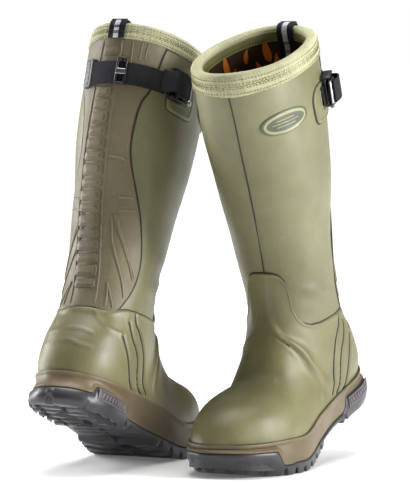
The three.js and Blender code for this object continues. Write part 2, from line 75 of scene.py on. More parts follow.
def section(t):
    t = np.clip(t, -0.2, LAST - 1e-9)
    i = np.clip(np.floor(t).astype(int), 0, LAST - 1)
    f = (t - i)[..., None]
    p1, p2 = KEYS[i], KEYS[i + 1]
    p0 = np.where((i > 0)[..., None], KEYS[np.maximum(i - 1, 0)], 2 * p1 - p2)
    p3 = np.where((i + 2 <= LAST)[..., None], KEYS[np.minimum(i + 2, LAST)], 2 * p2 - p1)
    return 0.5 * (2 * p1 + (p2 - p0) * f + (2 * p0 - 5 * p1 + 4 * p2 - p3) * f ** 2 + (-p0 + 3 * p1 - 3 * p2 + p3) * f ** 3)


def spow(v, e):
    return np.sign(v) * np.abs(v) ** e


def surf(t, deg):
    t, deg = np.broadcast_arrays(np.asarray(t, float), np.asarray(deg, float))
    q = section(t)
    d0, d1, b0, b1, w, xc, c, nu, nl = [q[..., k] for k in range(9)]
    dy, dz = d0 - b0, d1 - b1
    ln = np.hypot(dy, dz) + 1e-9
    cs, sn = np.cos(np.radians(deg)), np.sin(np.radians(deg))
    n = np.where(cs >= 0, nu, nl)
    m = c * ln + np.where(cs >= 0, (1 - c) * ln, c * ln) * spow(cs, 2 / n)
    return np.stack([xc + w * spow(sn, 2 / n), b0 + dy / ln * m, b1 + dz / ln * m], -1)


def unit(v):
    return v / (np.linalg.norm(v, axis=-1, keepdims=True) + 1e-12)


def norm(t, deg):
    t = np.asarray(t, float)
    a = surf(np.minimum(t + .05, LAST - .02), deg) - surf(np.minimum(t - .05, LAST - .12), deg)
    tt = np.minimum(t, LAST - .05)
    b = surf(tt, np.asarray(deg) + 2.3) - surf(tt, np.asarray(deg) - 2.3)
    return unit(np.cross(b, a))


def skin(t, deg, off=0.0):
    """A point off millimetres above the boot's surface."""
    return surf(t, deg) + norm(t, deg) * np.asarray(off)[..., None]


def on(t0, deg0, x, y, off, turn=0.0):
    """Millimetre offsets about a point of the surface: x towards larger angles, y up the boot."""
    c, s = math.cos(math.radians(turn)), math.sin(math.radians(turn))
    x, y = np.asarray(x) * c - np.asarray(y) * s, np.asarray(x) * s + np.asarray(y) * c
    per_t = np.linalg.norm(surf(t0 + .1, deg0) - surf(t0 - .1, deg0)) / .2
    t = t0 - y / per_t
    per_d = np.linalg.norm(surf(t, deg0 + 2.0) - surf(t, deg0 - 2.0), axis=-1) / 4
    return skin(t, deg0 + x / per_d, off)


def t_at(deg, z, lo=.1, hi=9.0):
    ts = np.linspace(lo, hi, 900)
    zs = surf(ts, deg)[:, 2]
    return float(np.interp(-z, -zs, ts))


def smooth(a, b, v):
    u = np.clip((np.asarray(v, float) - a) / (b - a), 0, 1)
    return u * u * (3 - 2 * u)


def place(side, p, mode="rear"):
    """Flat local millimetres to metres in the row frame. mode: rear (turned up), fore (flat) or foot (bends between)."""
    b = BOOTS[side]
    p = np.asarray(p, float)
    if mode == "rear":
        w = np.ones(p.shape[:-1])
    elif mode == "fore":
        w = np.zeros(p.shape[:-1])
    else:
        w = 1 - smooth(BEND0, BEND1, p[..., 1])
    a = np.radians(b["up"]) * w
    y, z = p[..., 1] - BALL[1], p[..., 2] - BALL[2]
    y2 = np.cos(a) * y + np.sin(a) * z
    z2 = -np.sin(a) * y + np.cos(a) * z + BALL[2]
    x = p[..., 0] * b["m"]
    th = np.radians(b["yaw"] - 90)
    out = np.stack([x * np.cos(th) - y2 * np.sin(th) + b["x"], x * np.sin(th) + y2 * np.cos(th) + b["y"], z2], -1)
    return (out + SHIFT) / 1000


# ---------------------------------------------------------------- mesh helpers
class Bag:
    """Collects closed shells in local millimetres; quads, triangles and one polygon per cap."""

    def __init__(self):
        self.v, self.q, self.p, self.st, self.n = [], [], [], [], 0

    def add(self, v, quads=(), polys=(), st=None):
        v = np.asarray(v, float).reshape(-1, 3)
        quads = np.asarray(quads, int).reshape(-1, 4)
        polys = [list(map(int, f)) for f in polys]
        vol = 0.0
        if len(quads):
            a, b, c, d = (v[quads[:, k]] for k in range(4))
            vol += np.einsum("ij,ij->", a, np.cross(b, c)) + np.einsum("ij,ij->", a, np.cross(c, d))
        for f in polys:
            w = v[f]
            vol += float(np.einsum("ij,ij->", np.repeat(w[:1], len(f) - 2, 0), np.cross(w[1:-1], w[2:])))
        if vol < 0:
            quads = quads[:, ::-1]
            polys = [f[::-1] for f in polys]
        self.v.append(v)
        self.q.append(quads + self.n)
        self.p += [[i + self.n for i in f] for f in polys]
        self.st.append(np.zeros((len(v), 3)) if st is None else np.asarray(st, float).reshape(-1, 3))
        self.n += len(v)
        return self


def make(name, side, bag, material, mode="rear", body=None, smooth_angle=40, bend=False, replaces=()):
    v = place(side, np.concatenate(bag.v), mode)
    v[:, 2] = np.maximum(v[:, 2], 0.0)
    quads = np.concatenate(bag.q) if bag.q else np.zeros((0, 4), int)
    polys = bag.p
    if BOOTS[side]["m"] < 0:
        quads = quads[:, ::-1]
        polys = [f[::-1] for f in polys]
    me = bpy.data.meshes.new(side + "_" + name)
    me.vertices.add(len(v))
    me.vertices.foreach_set("co", v.astype(np.float32).ravel())
    loops = np.concatenate([quads.ravel()] + [np.array(f) for f in polys]).astype(np.int32)
    sizes = np.array([4] * len(quads) + [len(f) for f in polys], np.int32)
    starts = np.concatenate([[0], np.cumsum(sizes)[:-1]]).astype(np.int32)
    me.loops.add(len(loops))
    me.loops.foreach_set("vertex_index", loops)
    me.polygons.add(len(sizes))
    me.polygons.foreach_set("loop_start", starts)
    me.update(calc_edges=True)
    me.validate()
    at = me.attributes.new("st", "FLOAT_VECTOR", "POINT")
    at.data.foreach_set("vector", np.concatenate(bag.st).astype(np.float32).ravel())
    me.polygons.foreach_set("use_smooth", np.ones(len(me.polygons), bool))
    if smooth_angle < 180:
        me.set_sharp_from_angle(angle=math.radians(smooth_angle))
    me.materials.append(material)
    ob = bpy.data.objects.new(side + "_" + name, me)
    bpy.context.scene.collection.objects.link(ob)
    if bend:
        a, b = BOOTS[side], place(side, np.array([[0, BEND0, 4.0], [0, BEND0 + (BEND1 - BEND0), 4.0]]), "rear")
        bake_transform(ob)
    else:
        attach(ob, side + "_" + (body or "boot"))
    for n in replaces:
        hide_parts(side + "_" + n)
    return ob


def grid_quads(r, c, wrap_c=False, wrap_r=False, base=0):
    i = np.arange(r if wrap_r else r - 1)[:, None]
    j = np.arange(c if wrap_c else c - 1)[None, :]
    i2, j2 = (i + 1) % r, (j + 1) % c
    return np.stack([i * c + j + 0 * i2, i2 * c + j, i2 * c + j2, i * c + j2], -1).reshape(-1, 4) + base


def shell(outer, inner, st=None, close_end=False):
    """A wall all the way round: outer and inner are (rows, columns, 3), joined at the first row and the last."""
    ro, c, _ = outer.shape
    ri = inner.shape[0]
    v = np.concatenate([outer.reshape(-1, 3), inner.reshape(-1, 3)])
    q = [grid_quads(ro, c, True), grid_quads(ri, c, True, base=ro * c)[:, ::-1]]
    j = np.arange(c)
    k = (j + 1) % c
    q.append(np.stack([j, k, ro * c + k, ro * c + j], -1))
    polys = []
    if close_end:
        polys = [list((ro - 1) * c + j), list((ro * c + (ri - 1) * c + j)[::-1])]
    else:
        a, b = (ro - 1) * c, ro * c + (ri - 1) * c
        q.append(np.stack([a + k, a + j, b + j, b + k], -1))
    s = None
    if st is not None:
        s = np.concatenate([st.reshape(-1, 3), np.zeros((ri * c, 3))])
    return v, np.concatenate(q), polys, s


def slab(top, bottom, st=None):
    """A closed plate from two (rows, columns, 3) grids."""
    r, c, _ = top.shape
    v = np.concatenate([top.reshape(-1, 3), bottom.reshape(-1, 3)])
    n = r * c
    q = [grid_quads(r, c), grid_quads(r, c, base=n)[:, ::-1]]
    edge = np.concatenate([np.arange(c - 1), np.arange(r - 1) * c + c - 1, (r - 1) * c + np.arange(c - 1, 0, -1), np.arange(r - 1, 0, -1) * c])
    nxt = np.roll(edge, -1)
    q.append(np.stack([edge, nxt, nxt + n, edge + n], -1))
    s = None if st is None else np.concatenate([st.reshape(-1, 3)] * 2)
    return v, np.concatenate(q), [], s


def spline(pts, n, closed=False):
    """Catmull-Rom through the points, n samples an even distance apart."""
    p = np.asarray(pts, float)
    m = len(p)
    fine = []
    for i in range(m if closed else m - 1):
        p1, p2 = p[i], p[(i + 1) % m]
        p0 = p[(i - 1) % m] if closed or i > 0 else 2 * p1 - p2
        p3 = p[(i + 2) % m] if closed or i + 2 < m else 2 * p2 - p1
        f = np.linspace(0, 1, 24, endpoint=False)[:, None]
        fine.append(.5 * (2 * p1 + (p2 - p0) * f + (2 * p0 - 5 * p1 + 4 * p2 - p3) * f ** 2 + (-p0 + 3 * p1 - 3 * p2 + p3) * f ** 3))
    fine = np.concatenate(fine + [p[:1] if closed else p[-1:]])
    s = np.concatenate([[0], np.cumsum(np.linalg.norm(np.diff(fine, axis=0), axis=1))])
    g = np.linspace(0, s[-1], n, endpoint=not closed)
    return np.stack([np.interp(g, s, fine[:, k]) for k in range(p.shape[1])], -1)


def rounded(hw, hh, r, k=3):
    """A rounded rectangle section, centred."""
    r = min(r, hw * .98, hh * .98)
    out = []
    for cx, cy, a0 in ((hw - r, hh - r, 0), (-hw + r, hh - r, 90), (-hw + r, -hh + r, 180), (hw - r, -hh + r, 270)):
        for a in np.linspace(0, 90, k):
            out.append((cx + r * math.cos(math.radians(a0 + a)), cy + r * math.sin(math.radians(a0 + a))))
    return np.array(out)


def sweep(path, up, sec, closed=False, scale=None, side=None):
    """sec, in (side, up) millimetres, run along path. scale: a factor along it, for the ends."""
    path, up = np.asarray(path, float), np.asarray(up, float)
    if closed:
        tan = unit(np.roll(path, -1, 0) - np.roll(path, 1, 0))
    else:
        tan = unit(np.gradient(path, axis=0))
    sd = unit(np.cross(tan, up)) if side is None else unit(np.asarray(side, float) + 0 * path)
    up = unit(np.cross(sd, tan)) if side is None else unit(np.cross(tan, sd))
    if side is None:
        pass
    sc = np.ones(len(path)) if scale is None else np.asarray(scale, float)
    sec = np.asarray(sec, float)
    v = path[:, None] + sd[:, None] * (sec[None, :, :1] * sc[:, None, None]) + up[:, None] * (sec[None, :, 1:] * sc[:, None, None])
    n, k = v.shape[:2]
    q = grid_quads(n, k, wrap_c=True, wrap_r=closed)
    polys = [] if closed else [list(range(k))[::-1], list((n - 1) * k + np.arange(k))]
    s = np.concatenate([[0], np.cumsum(np.linalg.norm(np.diff(path, axis=0), axis=1))])
    st = np.stack([np.repeat(s[:, None], k, 1), np.repeat(sec[None, :, 0], n, 0), np.repeat(sec[None, :, 1], n, 0)], -1)
    return v.reshape(-1, 3), q, polys, st


def surface_band(t, deg, off, hw, hh, closed=False, r=None, taper=True):
    """A raised or sunk line on the surface."""
    p = skin(t, deg, off)
    sec = rounded(hw, hh, min(hw, hh) if r is None else r)
    sc = None
    if taper and not closed:
        m = np.minimum(np.arange(len(p)), np.arange(len(p))[::-1])
        sc = np.clip((m + .35) / 2.5, .15, 1) ** .5
    return sweep(p, norm(t, deg), sec, closed, sc)


def stitches(p0, p1, up, r=.35, sides=6):
    """Short threads from p0 to p1, each bowed out of the cloth."""
    p0, p1, up = (np.asarray(x, float).reshape(-1, 3) for x in (p0, p1, up))
    tan = unit(p1 - p0)
    sd = unit(np.cross(tan, up))
    up = unit(np.cross(sd, tan))
    f = np.array([0, .15, .5, .85, 1])
    rad = np.array([.45, .95, 1.1, .95, .45]) * r
    lift = np.array([-.9, .15, .55, .15, -.9]) * r
    a = np.linspace(0, 2 * np.pi, sides, endpoint=False)
    c = p0[:, None] + (p1 - p0)[:, None] * f[None, :, None] + up[:, None] * lift[None, :, None]
    v = c[:, :, None] + sd[:, None, None] * (np.cos(a)[None, None, :, None] * rad[None, :, None, None]) + up[:, None, None] * (np.sin(a)[None, None, :, None] * rad[None, :, None, None])
    m = len(p0)
    per = 5 * sides
    q = grid_quads(5, sides, wrap_c=True)
    caps = np.array([[3, 2, 1, 0], [5, 4, 3, 0], [per - 6, per - 5, per - 4, per - 3], [per - 6, per - 3, per - 2, per - 1]])
    one = np.concatenate([q, caps])
    quads = (one[None] + (np.arange(m) * per)[:, None, None]).reshape(-1, 4)
    return v.reshape(-1, 3), quads, [], None


def patch(t0, deg0, outline, h, low=-.5, turn=0.0, round_=.7, base=0.0, lift=None, rings=(.8, .55, .3)):
    """A plate on the surface with a rounded edge, inside a closed outline in millimetres."""
    o = np.asarray(outline, float)
    nxt, prv = np.roll(o, -1, 0), np.roll(o, 1, 0)
    tn = unit(nxt - prv)
    inn = np.stack([-tn[:, 1], tn[:, 0]], -1)
    area = .5 * np.sum(o[:, 0] * nxt[:, 1] - nxt[:, 0] * o[:, 1])
    if area < 0:
        inn = -inn
    cen = o.mean(0)
    rows = []
    for d, z in ((0, low), (0, h - round_ * .75), (round_ * .3, h - round_ * .28), (round_, h)):
        rows.append((o + inn * d, np.full(len(o), z)))
    last = rows[-1][0]
    for k in rings:
        rows.append((cen + (last - cen) * k, np.full(len(o), h)))
    v = [on(t0, deg0, q[:, 0], q[:, 1], base + z + (0 if lift is None else lift(q)), turn) for q, z in rows]
    v.append(on(t0, deg0, cen[:1], cen[1:2], np.array([base + h + (0 if lift is None else lift(cen[None])[0])]), turn))
    v.append(on(t0, deg0, cen[:1], cen[1:2], np.array([base + low]), turn))
    n = len(o)
    k = len(rows)
    q = grid_quads(k, n, wrap_c=True)
    j = np.arange(n)
    l = (j + 1) % n
    polys = [[(k - 1) * n + a, (k - 1) * n + b, k * n] for a, b in zip(j, l)] + [[b, a, k * n + 1] for a, b in zip(j, l)]
    return np.concatenate(v), q, polys, None


def ellipse(a, b, n=48, power=2.0):
    g = np.linspace(0, 2 * np.pi, n, endpoint=False)
    return np.stack([a * spow(np.cos(g), 2 / power), b * spow(np.sin(g), 2 / power)], -1)


def rrect(w, h, r, k=5):
    return rounded(w / 2, h / 2, r, k)


# ---------------------------------------------------------------- materials
def lin(r, g, b):
    return tuple(((c / 255) / 12.92 if c / 255 <= .04045 else ((c / 255 + .055) / 1.055) ** 2.4) for c in (r, g, b)) + (1,)


class Mat:
    def __init__(self, name, rough=.5, metal=0.0, spec=.5, sheen=0.0, sheen_rough=.5, sheen_tint=(1, 1, 1, 1), coat=0.0):
        self.m = bpy.data.materials.new(name)
        self.m.use_nodes = True
        self.nt = self.m.node_tree
        self.nt.nodes.clear()
        out = self.nt.nodes.new("ShaderNodeOutputMaterial")
        self.b = self.nt.nodes.new("ShaderNodeBsdfPrincipled")
        self.nt.links.new(self.b.outputs[0], out.inputs[0])
        self.b.inputs["Roughness"].default_value = rough
        self.b.inputs["Metallic"].default_value = metal
        self.b.inputs["Specular IOR Level"].default_value = spec
        self.b.inputs["Sheen Weight"].default_value = sheen
        self.b.inputs["Sheen Roughness"].default_value = sheen_rough
        self.b.inputs["Sheen Tint"].default_value = sheen_tint
        self.b.inputs["Coat Weight"].default_value = coat
        self.at = None
        self.xyz = self.nt.nodes.new("ShaderNodeTexCoord").outputs["Object"]

    def node(self, kind, **inputs):
        n = self.nt.nodes.new(kind)
        for k, v in inputs.items():
            self.put(n.inputs[k.replace("_", " ")], v)
        return n

    def put(self, socket, v):
        if isinstance(v, bpy.types.NodeSocket):
            self.nt.links.new(v, socket)
        else:
            socket.default_value = v

    def noise(self, scale, detail=2.0, rough=.5, vec=None, dist=0.0):
        n = self.node("ShaderNodeTexNoise", Vector=vec or self.xyz, Scale=scale, Detail=detail, Roughness=rough, Distortion=dist)
        return n.outputs["Fac"]

    def voronoi(self, scale, vec=None, feature="F1", rand=1.0):
        n = self.nt.nodes.new("ShaderNodeTexVoronoi")
        n.feature = feature
        self.put(n.inputs["Vector"], vec or self.xyz)
        n.inputs["Scale"].default_value = scale
        n.inputs["Randomness"].default_value = rand
        return n.outputs["Distance"]

    def math(self, op, a, b=0.0, clamp=False):
        n = self.nt.nodes.new("ShaderNodeMath")
        n.operation = op
        n.use_clamp = clamp
        self.put(n.inputs[0], a)
        self.put(n.inputs[1], b)
        return n.outputs[0]

    def fit(self, v, a, b, c=0.0, d=1.0):
        n = self.nt.nodes.new("ShaderNodeMapRange")
        for k, x in zip(("Value", "From Min", "From Max", "To Min", "To Max"), (v, a, b, c, d)):
            self.put(n.inputs[k], x)
        return n.outputs[0]

    def mix(self, f, a, b, mode="MIX"):
        n = self.nt.nodes.new("ShaderNodeMix")
        n.data_type = "RGBA"
        n.blend_type = mode
        self.put(n.inputs[0], f)
        self.put(n.inputs[6], a)
        self.put(n.inputs[7], b)
        return n.outputs[2]

    def st(self):
        if self.at is None:
            a = self.nt.nodes.new("ShaderNodeAttribute")
            a.attribute_name = "st"
            s = self.nt.nodes.new("ShaderNodeSeparateXYZ")
            self.nt.links.new(a.outputs["Vector"], s.inputs[0])
            self.at = (s.outputs[0], s.outputs[1], s.outputs[2], a.outputs["Vector"])
        return self.at

    def wave(self, v, pitch, phase=0.0):
        return self.math("SINE", self.math("ADD", self.math("MULTIPLY", v, 2 * math.pi / pitch), phase))

    def pointy(self, a, b):
        g = self.nt.nodes.new("ShaderNodeNewGeometry")
        return self.fit(g.outputs["Pointiness"], a, b)

    def bump(self, height, distance, strength=1.0, normal=None):
        n = self.nt.nodes.new("ShaderNodeBump")
        n.inputs["Strength"].default_value = strength
        n.inputs["Distance"].default_value = distance
        self.put(n.inputs["Height"], height)
        if normal is not None:
            self.put(n.inputs["Normal"], normal)
        return n.outputs[0]

    def done(self, color=None, normal=None, rough=None):
        if color is not None:
            self.put(self.b.inputs["Base Color"], color)
        if normal is not None:
            self.put(self.b.inputs["Normal"], normal)
        if rough is not None:
            self.put(self.b.inputs["Roughness"], rough)
        return self.m


def rubber(name, dark, light, rough=(.42, .58), grain=.10, grain_scale=520, edge_wear_and_highlight=.22, spec=.45, fine=.05, speck=.05):
    m = Mat(name, spec=spec)
    big = m.noise(9.0, 3, .55)
    c = m.mix(m.fit(big, .32, .68), lin(*dark), lin(*light))
    c = m.mix(m.fit(m.noise(55.0, 3), .35, .7, 0, .22), c, lin(*[v * .82 for v in dark]))
    c = m.mix(m.fit(m.noise(900.0, 2), .42, .62, 0, speck * 2.2), c, lin(*[min(255, v * 1.16) for v in light]))
    # convex edges lightened: partly edge wear, partly painted highlight
    c = m.mix(m.fit(m.pointy(.52, .60), 0, 1, 0, edge_wear_and_highlight), c, lin(*[min(255, v * 1.22 + 8) for v in light]))
    # hollows darkened: painted shade
    c = m.mix(m.fit(m.pointy(.49, .42), 0, 1, 0, .45), c, lin(*[v * .55 for v in dark]))
    g = m.noise(grain_scale, 2, .55)
    g2 = m.voronoi(grain_scale * 2.1)
    n1 = m.bump(m.math("ADD", g, m.math("MULTIPLY", g2, .5)), grain / 1000 * 2.2, .55)
    n2 = m.bump(m.noise(70.0, 3), fine / 1000 * 10, .35, n1)
    return m.done(c, n2, m.fit(m.noise(38.0, 4), .3, .7, *rough))


def cloth(name, dark, light, pitch=1.4, depth=.18, rough=.9, sheen=.25, fuzz=0.0, twill=False):
    m = Mat(name, rough=rough, spec=.25, sheen=sheen, sheen_rough=.45, sheen_tint=lin(*[min(255, v * 1.3) for v in light]))
    u, v, _, _ = m.st()
    a = m.wave(u, pitch)
    b = m.wave(v, pitch, 1.2) if not twill else m.wave(m.math("ADD", v, m.math("MULTIPLY", u, .5)), pitch)
    w = m.math("MULTIPLY", a, b)
    c = m.mix(m.fit(m.noise(30.0, 4), .3, .7), lin(*dark), lin(*light))
    c = m.mix(m.fit(w, -1, 1, 0, .35), c, lin(*[x * .62 for x in dark]))
    c = m.mix(m.fit(m.noise(700.0, 3), .4, .65, 0, .3), c, lin(*[min(255, x * 1.2 + 6) for x in light]))
    h = m.math("ADD", m.fit(w, -1, 1), m.math("MULTIPLY", m.noise(1300.0, 3), .8 + fuzz * 2))
    return m.done(c, m.bump(h, depth / 1000, .9), m.fit(m.noise(120.0, 2), .3, .7, rough - .08, min(1, rough + .05)))


OLIVE = rubber("olive_rubber", (95, 93, 64), (114, 112, 80), grain=.14, rough=(.38, .52))
SHELL = rubber("shell_rubber", (97, 93, 62), (118, 114, 78), grain=.13, rough=(.36, .50))
PANEL = rubber("panel_rubber", (88, 80, 60), (112, 103, 79), grain=.2, rough=(.48, .62), grain_scale=430, edge_wear_and_highlight=.5, speck=.12)
MIDSOLE = rubber("midsole_foam", (84, 72, 50), (108, 94, 67), grain=.08, rough=(.42, .56), edge_wear_and_highlight=.45)
OUTSOLE = rubber("outsole_rubber", (40, 40, 44), (56, 56, 60), grain=.06, rough=(.3, .44), edge_wear_and_highlight=.5)
# dark lines for seams and joints, partly painted shade in grooves and under edges
SEAM_AND_SHADE = rubber("seam_and_groove_shade", (30, 30, 18), (42, 41, 26), grain=.04, rough=(.5, .62), edge_wear_and_highlight=.1)
BLACK_RUBBER = rubber("black_rubber", (36, 36, 42), (52, 52, 58), grain=.08, rough=(.42, .55), edge_wear_and_highlight=.3)
DOTS = rubber("holder_dots", (60, 60, 66), (76, 76, 82), grain=.03, rough=(.4, .5))
PLASTIC = rubber("black_plastic", (22, 22, 25), (32, 32, 35), grain=.03, rough=(.28, .40), edge_wear_and_highlight=.3, speck=.02)
BINDING = cloth("binding_tape", (142, 141, 111), (172, 171, 139), pitch=1.5, depth=.22, sheen=.3)
# inner tape: its own olive green, made darker as painted shade inside the rim
BINDING_IN = cloth("binding_inner_olive_and_shade", (84, 90, 46), (112, 116, 66), pitch=1.5, depth=.22, sheen=.2)
THREAD = cloth("thread_olive", (92, 92, 54), (118, 116, 74), pitch=.6, depth=.08)
THREAD_PALE = cloth("thread_pale", (148, 148, 112), (174, 174, 138), pitch=.6, depth=.08)
THREAD_BLACK = cloth("thread_black", (16, 16, 18), (30, 30, 33), pitch=.6, depth=.08)
WEB = cloth("webbing_black", (17, 18, 20), (30, 31, 34), pitch=1.7, depth=.3, rough=.82, sheen=.15, twill=True)
FUZZ = cloth("webbing_loop", (22, 21, 25), (40, 38, 45), pitch=2.1, depth=.55, rough=.95, sheen=.55, fuzz=1.0)
STRIPE = cloth("reflective_stripe", (150, 150, 156), (200, 200, 204), pitch=1.0, depth=.1, rough=.5, sheen=.0)
LINING = cloth("lining_knit", (44, 30, 20), (62, 44, 30), pitch=1.3, depth=.25, rough=.95, sheen=.3)
PRINT = cloth("lining_print", (190, 98, 22), (222, 126, 34), pitch=1.3, depth=.2, rough=.92, sheen=.2)
FOOTBED = cloth("footbed_felt", (38, 38, 40), (62, 62, 64), pitch=1.6, depth=.3, rough=.95, sheen=.3)
BOARD = cloth("insole_board", (150, 132, 98), (172, 154, 118), pitch=2.2, depth=.1, rough=.9)


def metal(name, dark, light, rough=(.26, .4)):
    m = Mat(name, metal=1.0)
    c = m.mix(m.fit(m.noise(160.0, 4), .3, .7), lin(*dark), lin(*light))
    # convex edges lightened towards white: painted highlight
    c = m.mix(m.fit(m.pointy(.5, .6), 0, 1, 0, .5), c, lin(235, 236, 240))
    stretched = m.node("ShaderNodeMapping", Vector=m.xyz, Scale=(900.0, 900.0, 60.0)).outputs[0]
    return m.done(c, m.bump(m.noise(1.0, 2, vec=stretched), .00005, .5), m.fit(m.noise(90.0, 3), .3, .7, *rough))


STEEL = metal("brushed_steel", (150, 151, 156), (196, 197, 202))
GUNMETAL = metal("dark_steel", (48, 49, 54), (74, 75, 80), (.3, .44))


def badge_face(name, dark, light):
    m = Mat(name, rough=.45)
    c = m.mix(m.fit(m.noise(70.0, 3), .3, .7), lin(*dark), lin(*light))
    # convex edges lightened: painted highlight
    c = m.mix(m.fit(m.pointy(.51, .58), 0, 1, 0, .5), c, lin(*[min(255, v * 1.25 + 12) for v in light]))
    return m.done(c, m.bump(m.noise(600.0, 2), .0001, .5), m.fit(m.noise(60.0, 3), .3, .7, .36, .52))


BADGE_PALE = badge_face("badge_rim", (106, 110, 76), (130, 134, 96))
BADGE_DARK = badge_face("badge_field", (60, 61, 48), (78, 79, 62))
PLATE_DARK = badge_face("plate_field", (40, 34, 40), (54, 46, 52))
PLATE_BAR = badge_face("plate_bars", (72, 68, 71), (94, 89, 93))

# ---------------------------------------------------------------- curves measured on the boot: (degrees, station)
# top edge of the foot shell, the outer side; the inner side mirrors it
EDGE = np.array([[0, 5.28], [12, 5.31], [19, 5.40], [25, 5.66], [28, 6.10], [31.5, 6.70], [38, 7.25], [46, 7.55], [56, 7.64], [68, 7.52],
                 [84, 7.28], [100, 7.08], [116, 6.97], [128, 6.96], [140, 6.98], [155, 6.93], [168, 6.87], [180, 6.86]])
# edge of the back panel: (degrees, height)
SEAM_Z = [(129, 396), (131, 390), (140, 349), (149, 327), (152.5, 289), (149, 265), (136, 231), (126, 205), (117.5, 173), (118, 143), (126, 121), (134, 109)]
FRONT_SEAM = [(6.5, .6), (7.5, 1.3), (7.0, 2.2), (5.5, 3.3), (3.6, 4.4), (1.6, 5.25)]
FRONT_RIDGE = [(1.4, 5.2), (-.2, 6.1), (.6, 6.9), (4.2, 7.55), (10, 8.1), (17, 8.55)]
MEDIAL_RIDGE = [(-24, 5.3), (-26, 6.2), (-24, 6.9), (-21, 7.5)]
CREASE = [(9, 8.2), (18, 8.62), (33, 9.0), (44, 9.45), (54, 9.98), (68, 10.6), (82, 11.25)]
HEEL_GROOVES = [
    [(102, 7.1), (95, 7.5), (87.5, 7.95), (81, 8.55), (78.8, 9.2), (81, 9.9), (86, 10.5), (90, 11.1)],
    [(107, 7.4), (100, 7.75), (92.5, 8.25), (87.5, 8.8), (86.5, 9.4), (90, 10.3), (93, 10.9)],
    [(109, 7.95), (103, 8.3), (97.5, 8.75), (95, 9.3), (96, 9.95), (99, 10.6)]]
HEEL_RIDGES = [
    [(161, 6.98), (153, 7.22), (140, 7.48), (124, 7.7), (112, 7.86)],
    [(-150, 7.76), (-170, 7.6), (171, 7.58), (152, 7.75)],
    [(-150, 8.2), (182, 7.98), (165, 8.1), (150, 8.22)]]


def along(pairs, n, wrap=False):
    p = np.array(pairs, float)
    if wrap:
        p[:, 0] = np.where(p[:, 0] < 0, p[:, 0] + 360, p[:, 0])
    q = spline(p * [1, 12.0], n) / [1, 12.0]
    return q[:, 1], q[:, 0]


def edge_t(deg):
    return np.interp(np.abs((np.asarray(deg) + 180) % 360 - 180), EDGE[:, 0], EDGE[:, 1])


def near(p, t, deg, reach):
    """Distance from points to a curve on the surface."""
    c = skin(t, deg)
    flat = p.reshape(-1, 3)
    d = np.full(len(flat), 1e3)
    lo, hi = c.min(0) - reach, c.max(0) + reach
    idx = np.nonzero(np.all((flat > lo) & (flat < hi), axis=1))[0]
    for k in range(0, len(idx), 4000):
        part = idx[k:k + 4000]
        d[part] = np.sqrt(((flat[part][:, None] - c[None]) ** 2).sum(-1)).min(1)
    return d.reshape(p.shape[:-1])


# ---------------------------------------------------------------- sole outline
N_SOLE = 620
SOLE = spline(OUTLINE, N_SOLE, closed=True)
_t = unit(np.roll(SOLE, -1, 0) - np.roll(SOLE, 1, 0))
INWARD = np.stack([-_t[:, 1], _t[:, 0]], -1)
if np.einsum("ij,ij->i", INWARD, np.array([0, 150.0]) - SOLE).mean() < 0:
    INWARD = -INWARD
for _ in range(6):
    INWARD = unit(INWARD + np.roll(INWARD, 1, 0) + np.roll(INWARD, -1, 0))
SX, SY = SOLE[:, 0], SOLE[:, 1]
LATERAL = smooth(-4, 6, SX)


def sole_point(d, z):
    """Points inset d from the outline at height z."""
    return np.concatenate([SOLE + INWARD * np.asarray(d)[..., None], np.broadcast_to(z, SX.shape)[:, None]], -1)


def half(y, which):
    s = SX > 0 if which > 0 else SX < 0
    o = np.argsort(SY[s])
    return np.interp(y, SY[s][o], SX[s][o])


CY = np.clip(SY, 32, 270)
CENTRE = np.stack([(half(CY, 1) + half(CY, -1)) / 2, CY], -1)
SPRING = lambda y: 9.0 * np.clip((y - 250) / 70, 0, 1.2) ** 1.5


def mid_top(y):
    return np.interp(y, [-12, 0, 30, 60, 100, 150, 185, 220, 250, 275, 312], [35.6, 35.6, 36.6, 38.0, 39.6, 40.0, 39.0, 37.2, 35.6, 34.6, 34.0])


def rim_top():
    lat = 17.2 + 7.4 * (smooth(11, 15, SY) - smooth(70, 77, SY)) - 6.5 * smooth(70, 84, SY) + 0 * SY
    med = 17.2 - 6.5 * smooth(62, 92, SY)
    z = np.where(SX > 0, lat, med)
    z = z + 15.0 * np.where(SX > 0, smooth(250, 263, SY), smooth(222, 240, SY))
    z = z + 2.0 * smooth(150, 185, SY) * (1 - smooth(225, 240, SY))
    return np.convolve(np.concatenate([z[-3:], z, z[:3]]), np.ones(3) / 3, "same")[3:-3]


RIM = rim_top()


def channel(v, c, w, soft=.9):
    return 1 - smooth(w / 2 - soft / 2, w / 2 + soft / 2, np.abs(v - c))


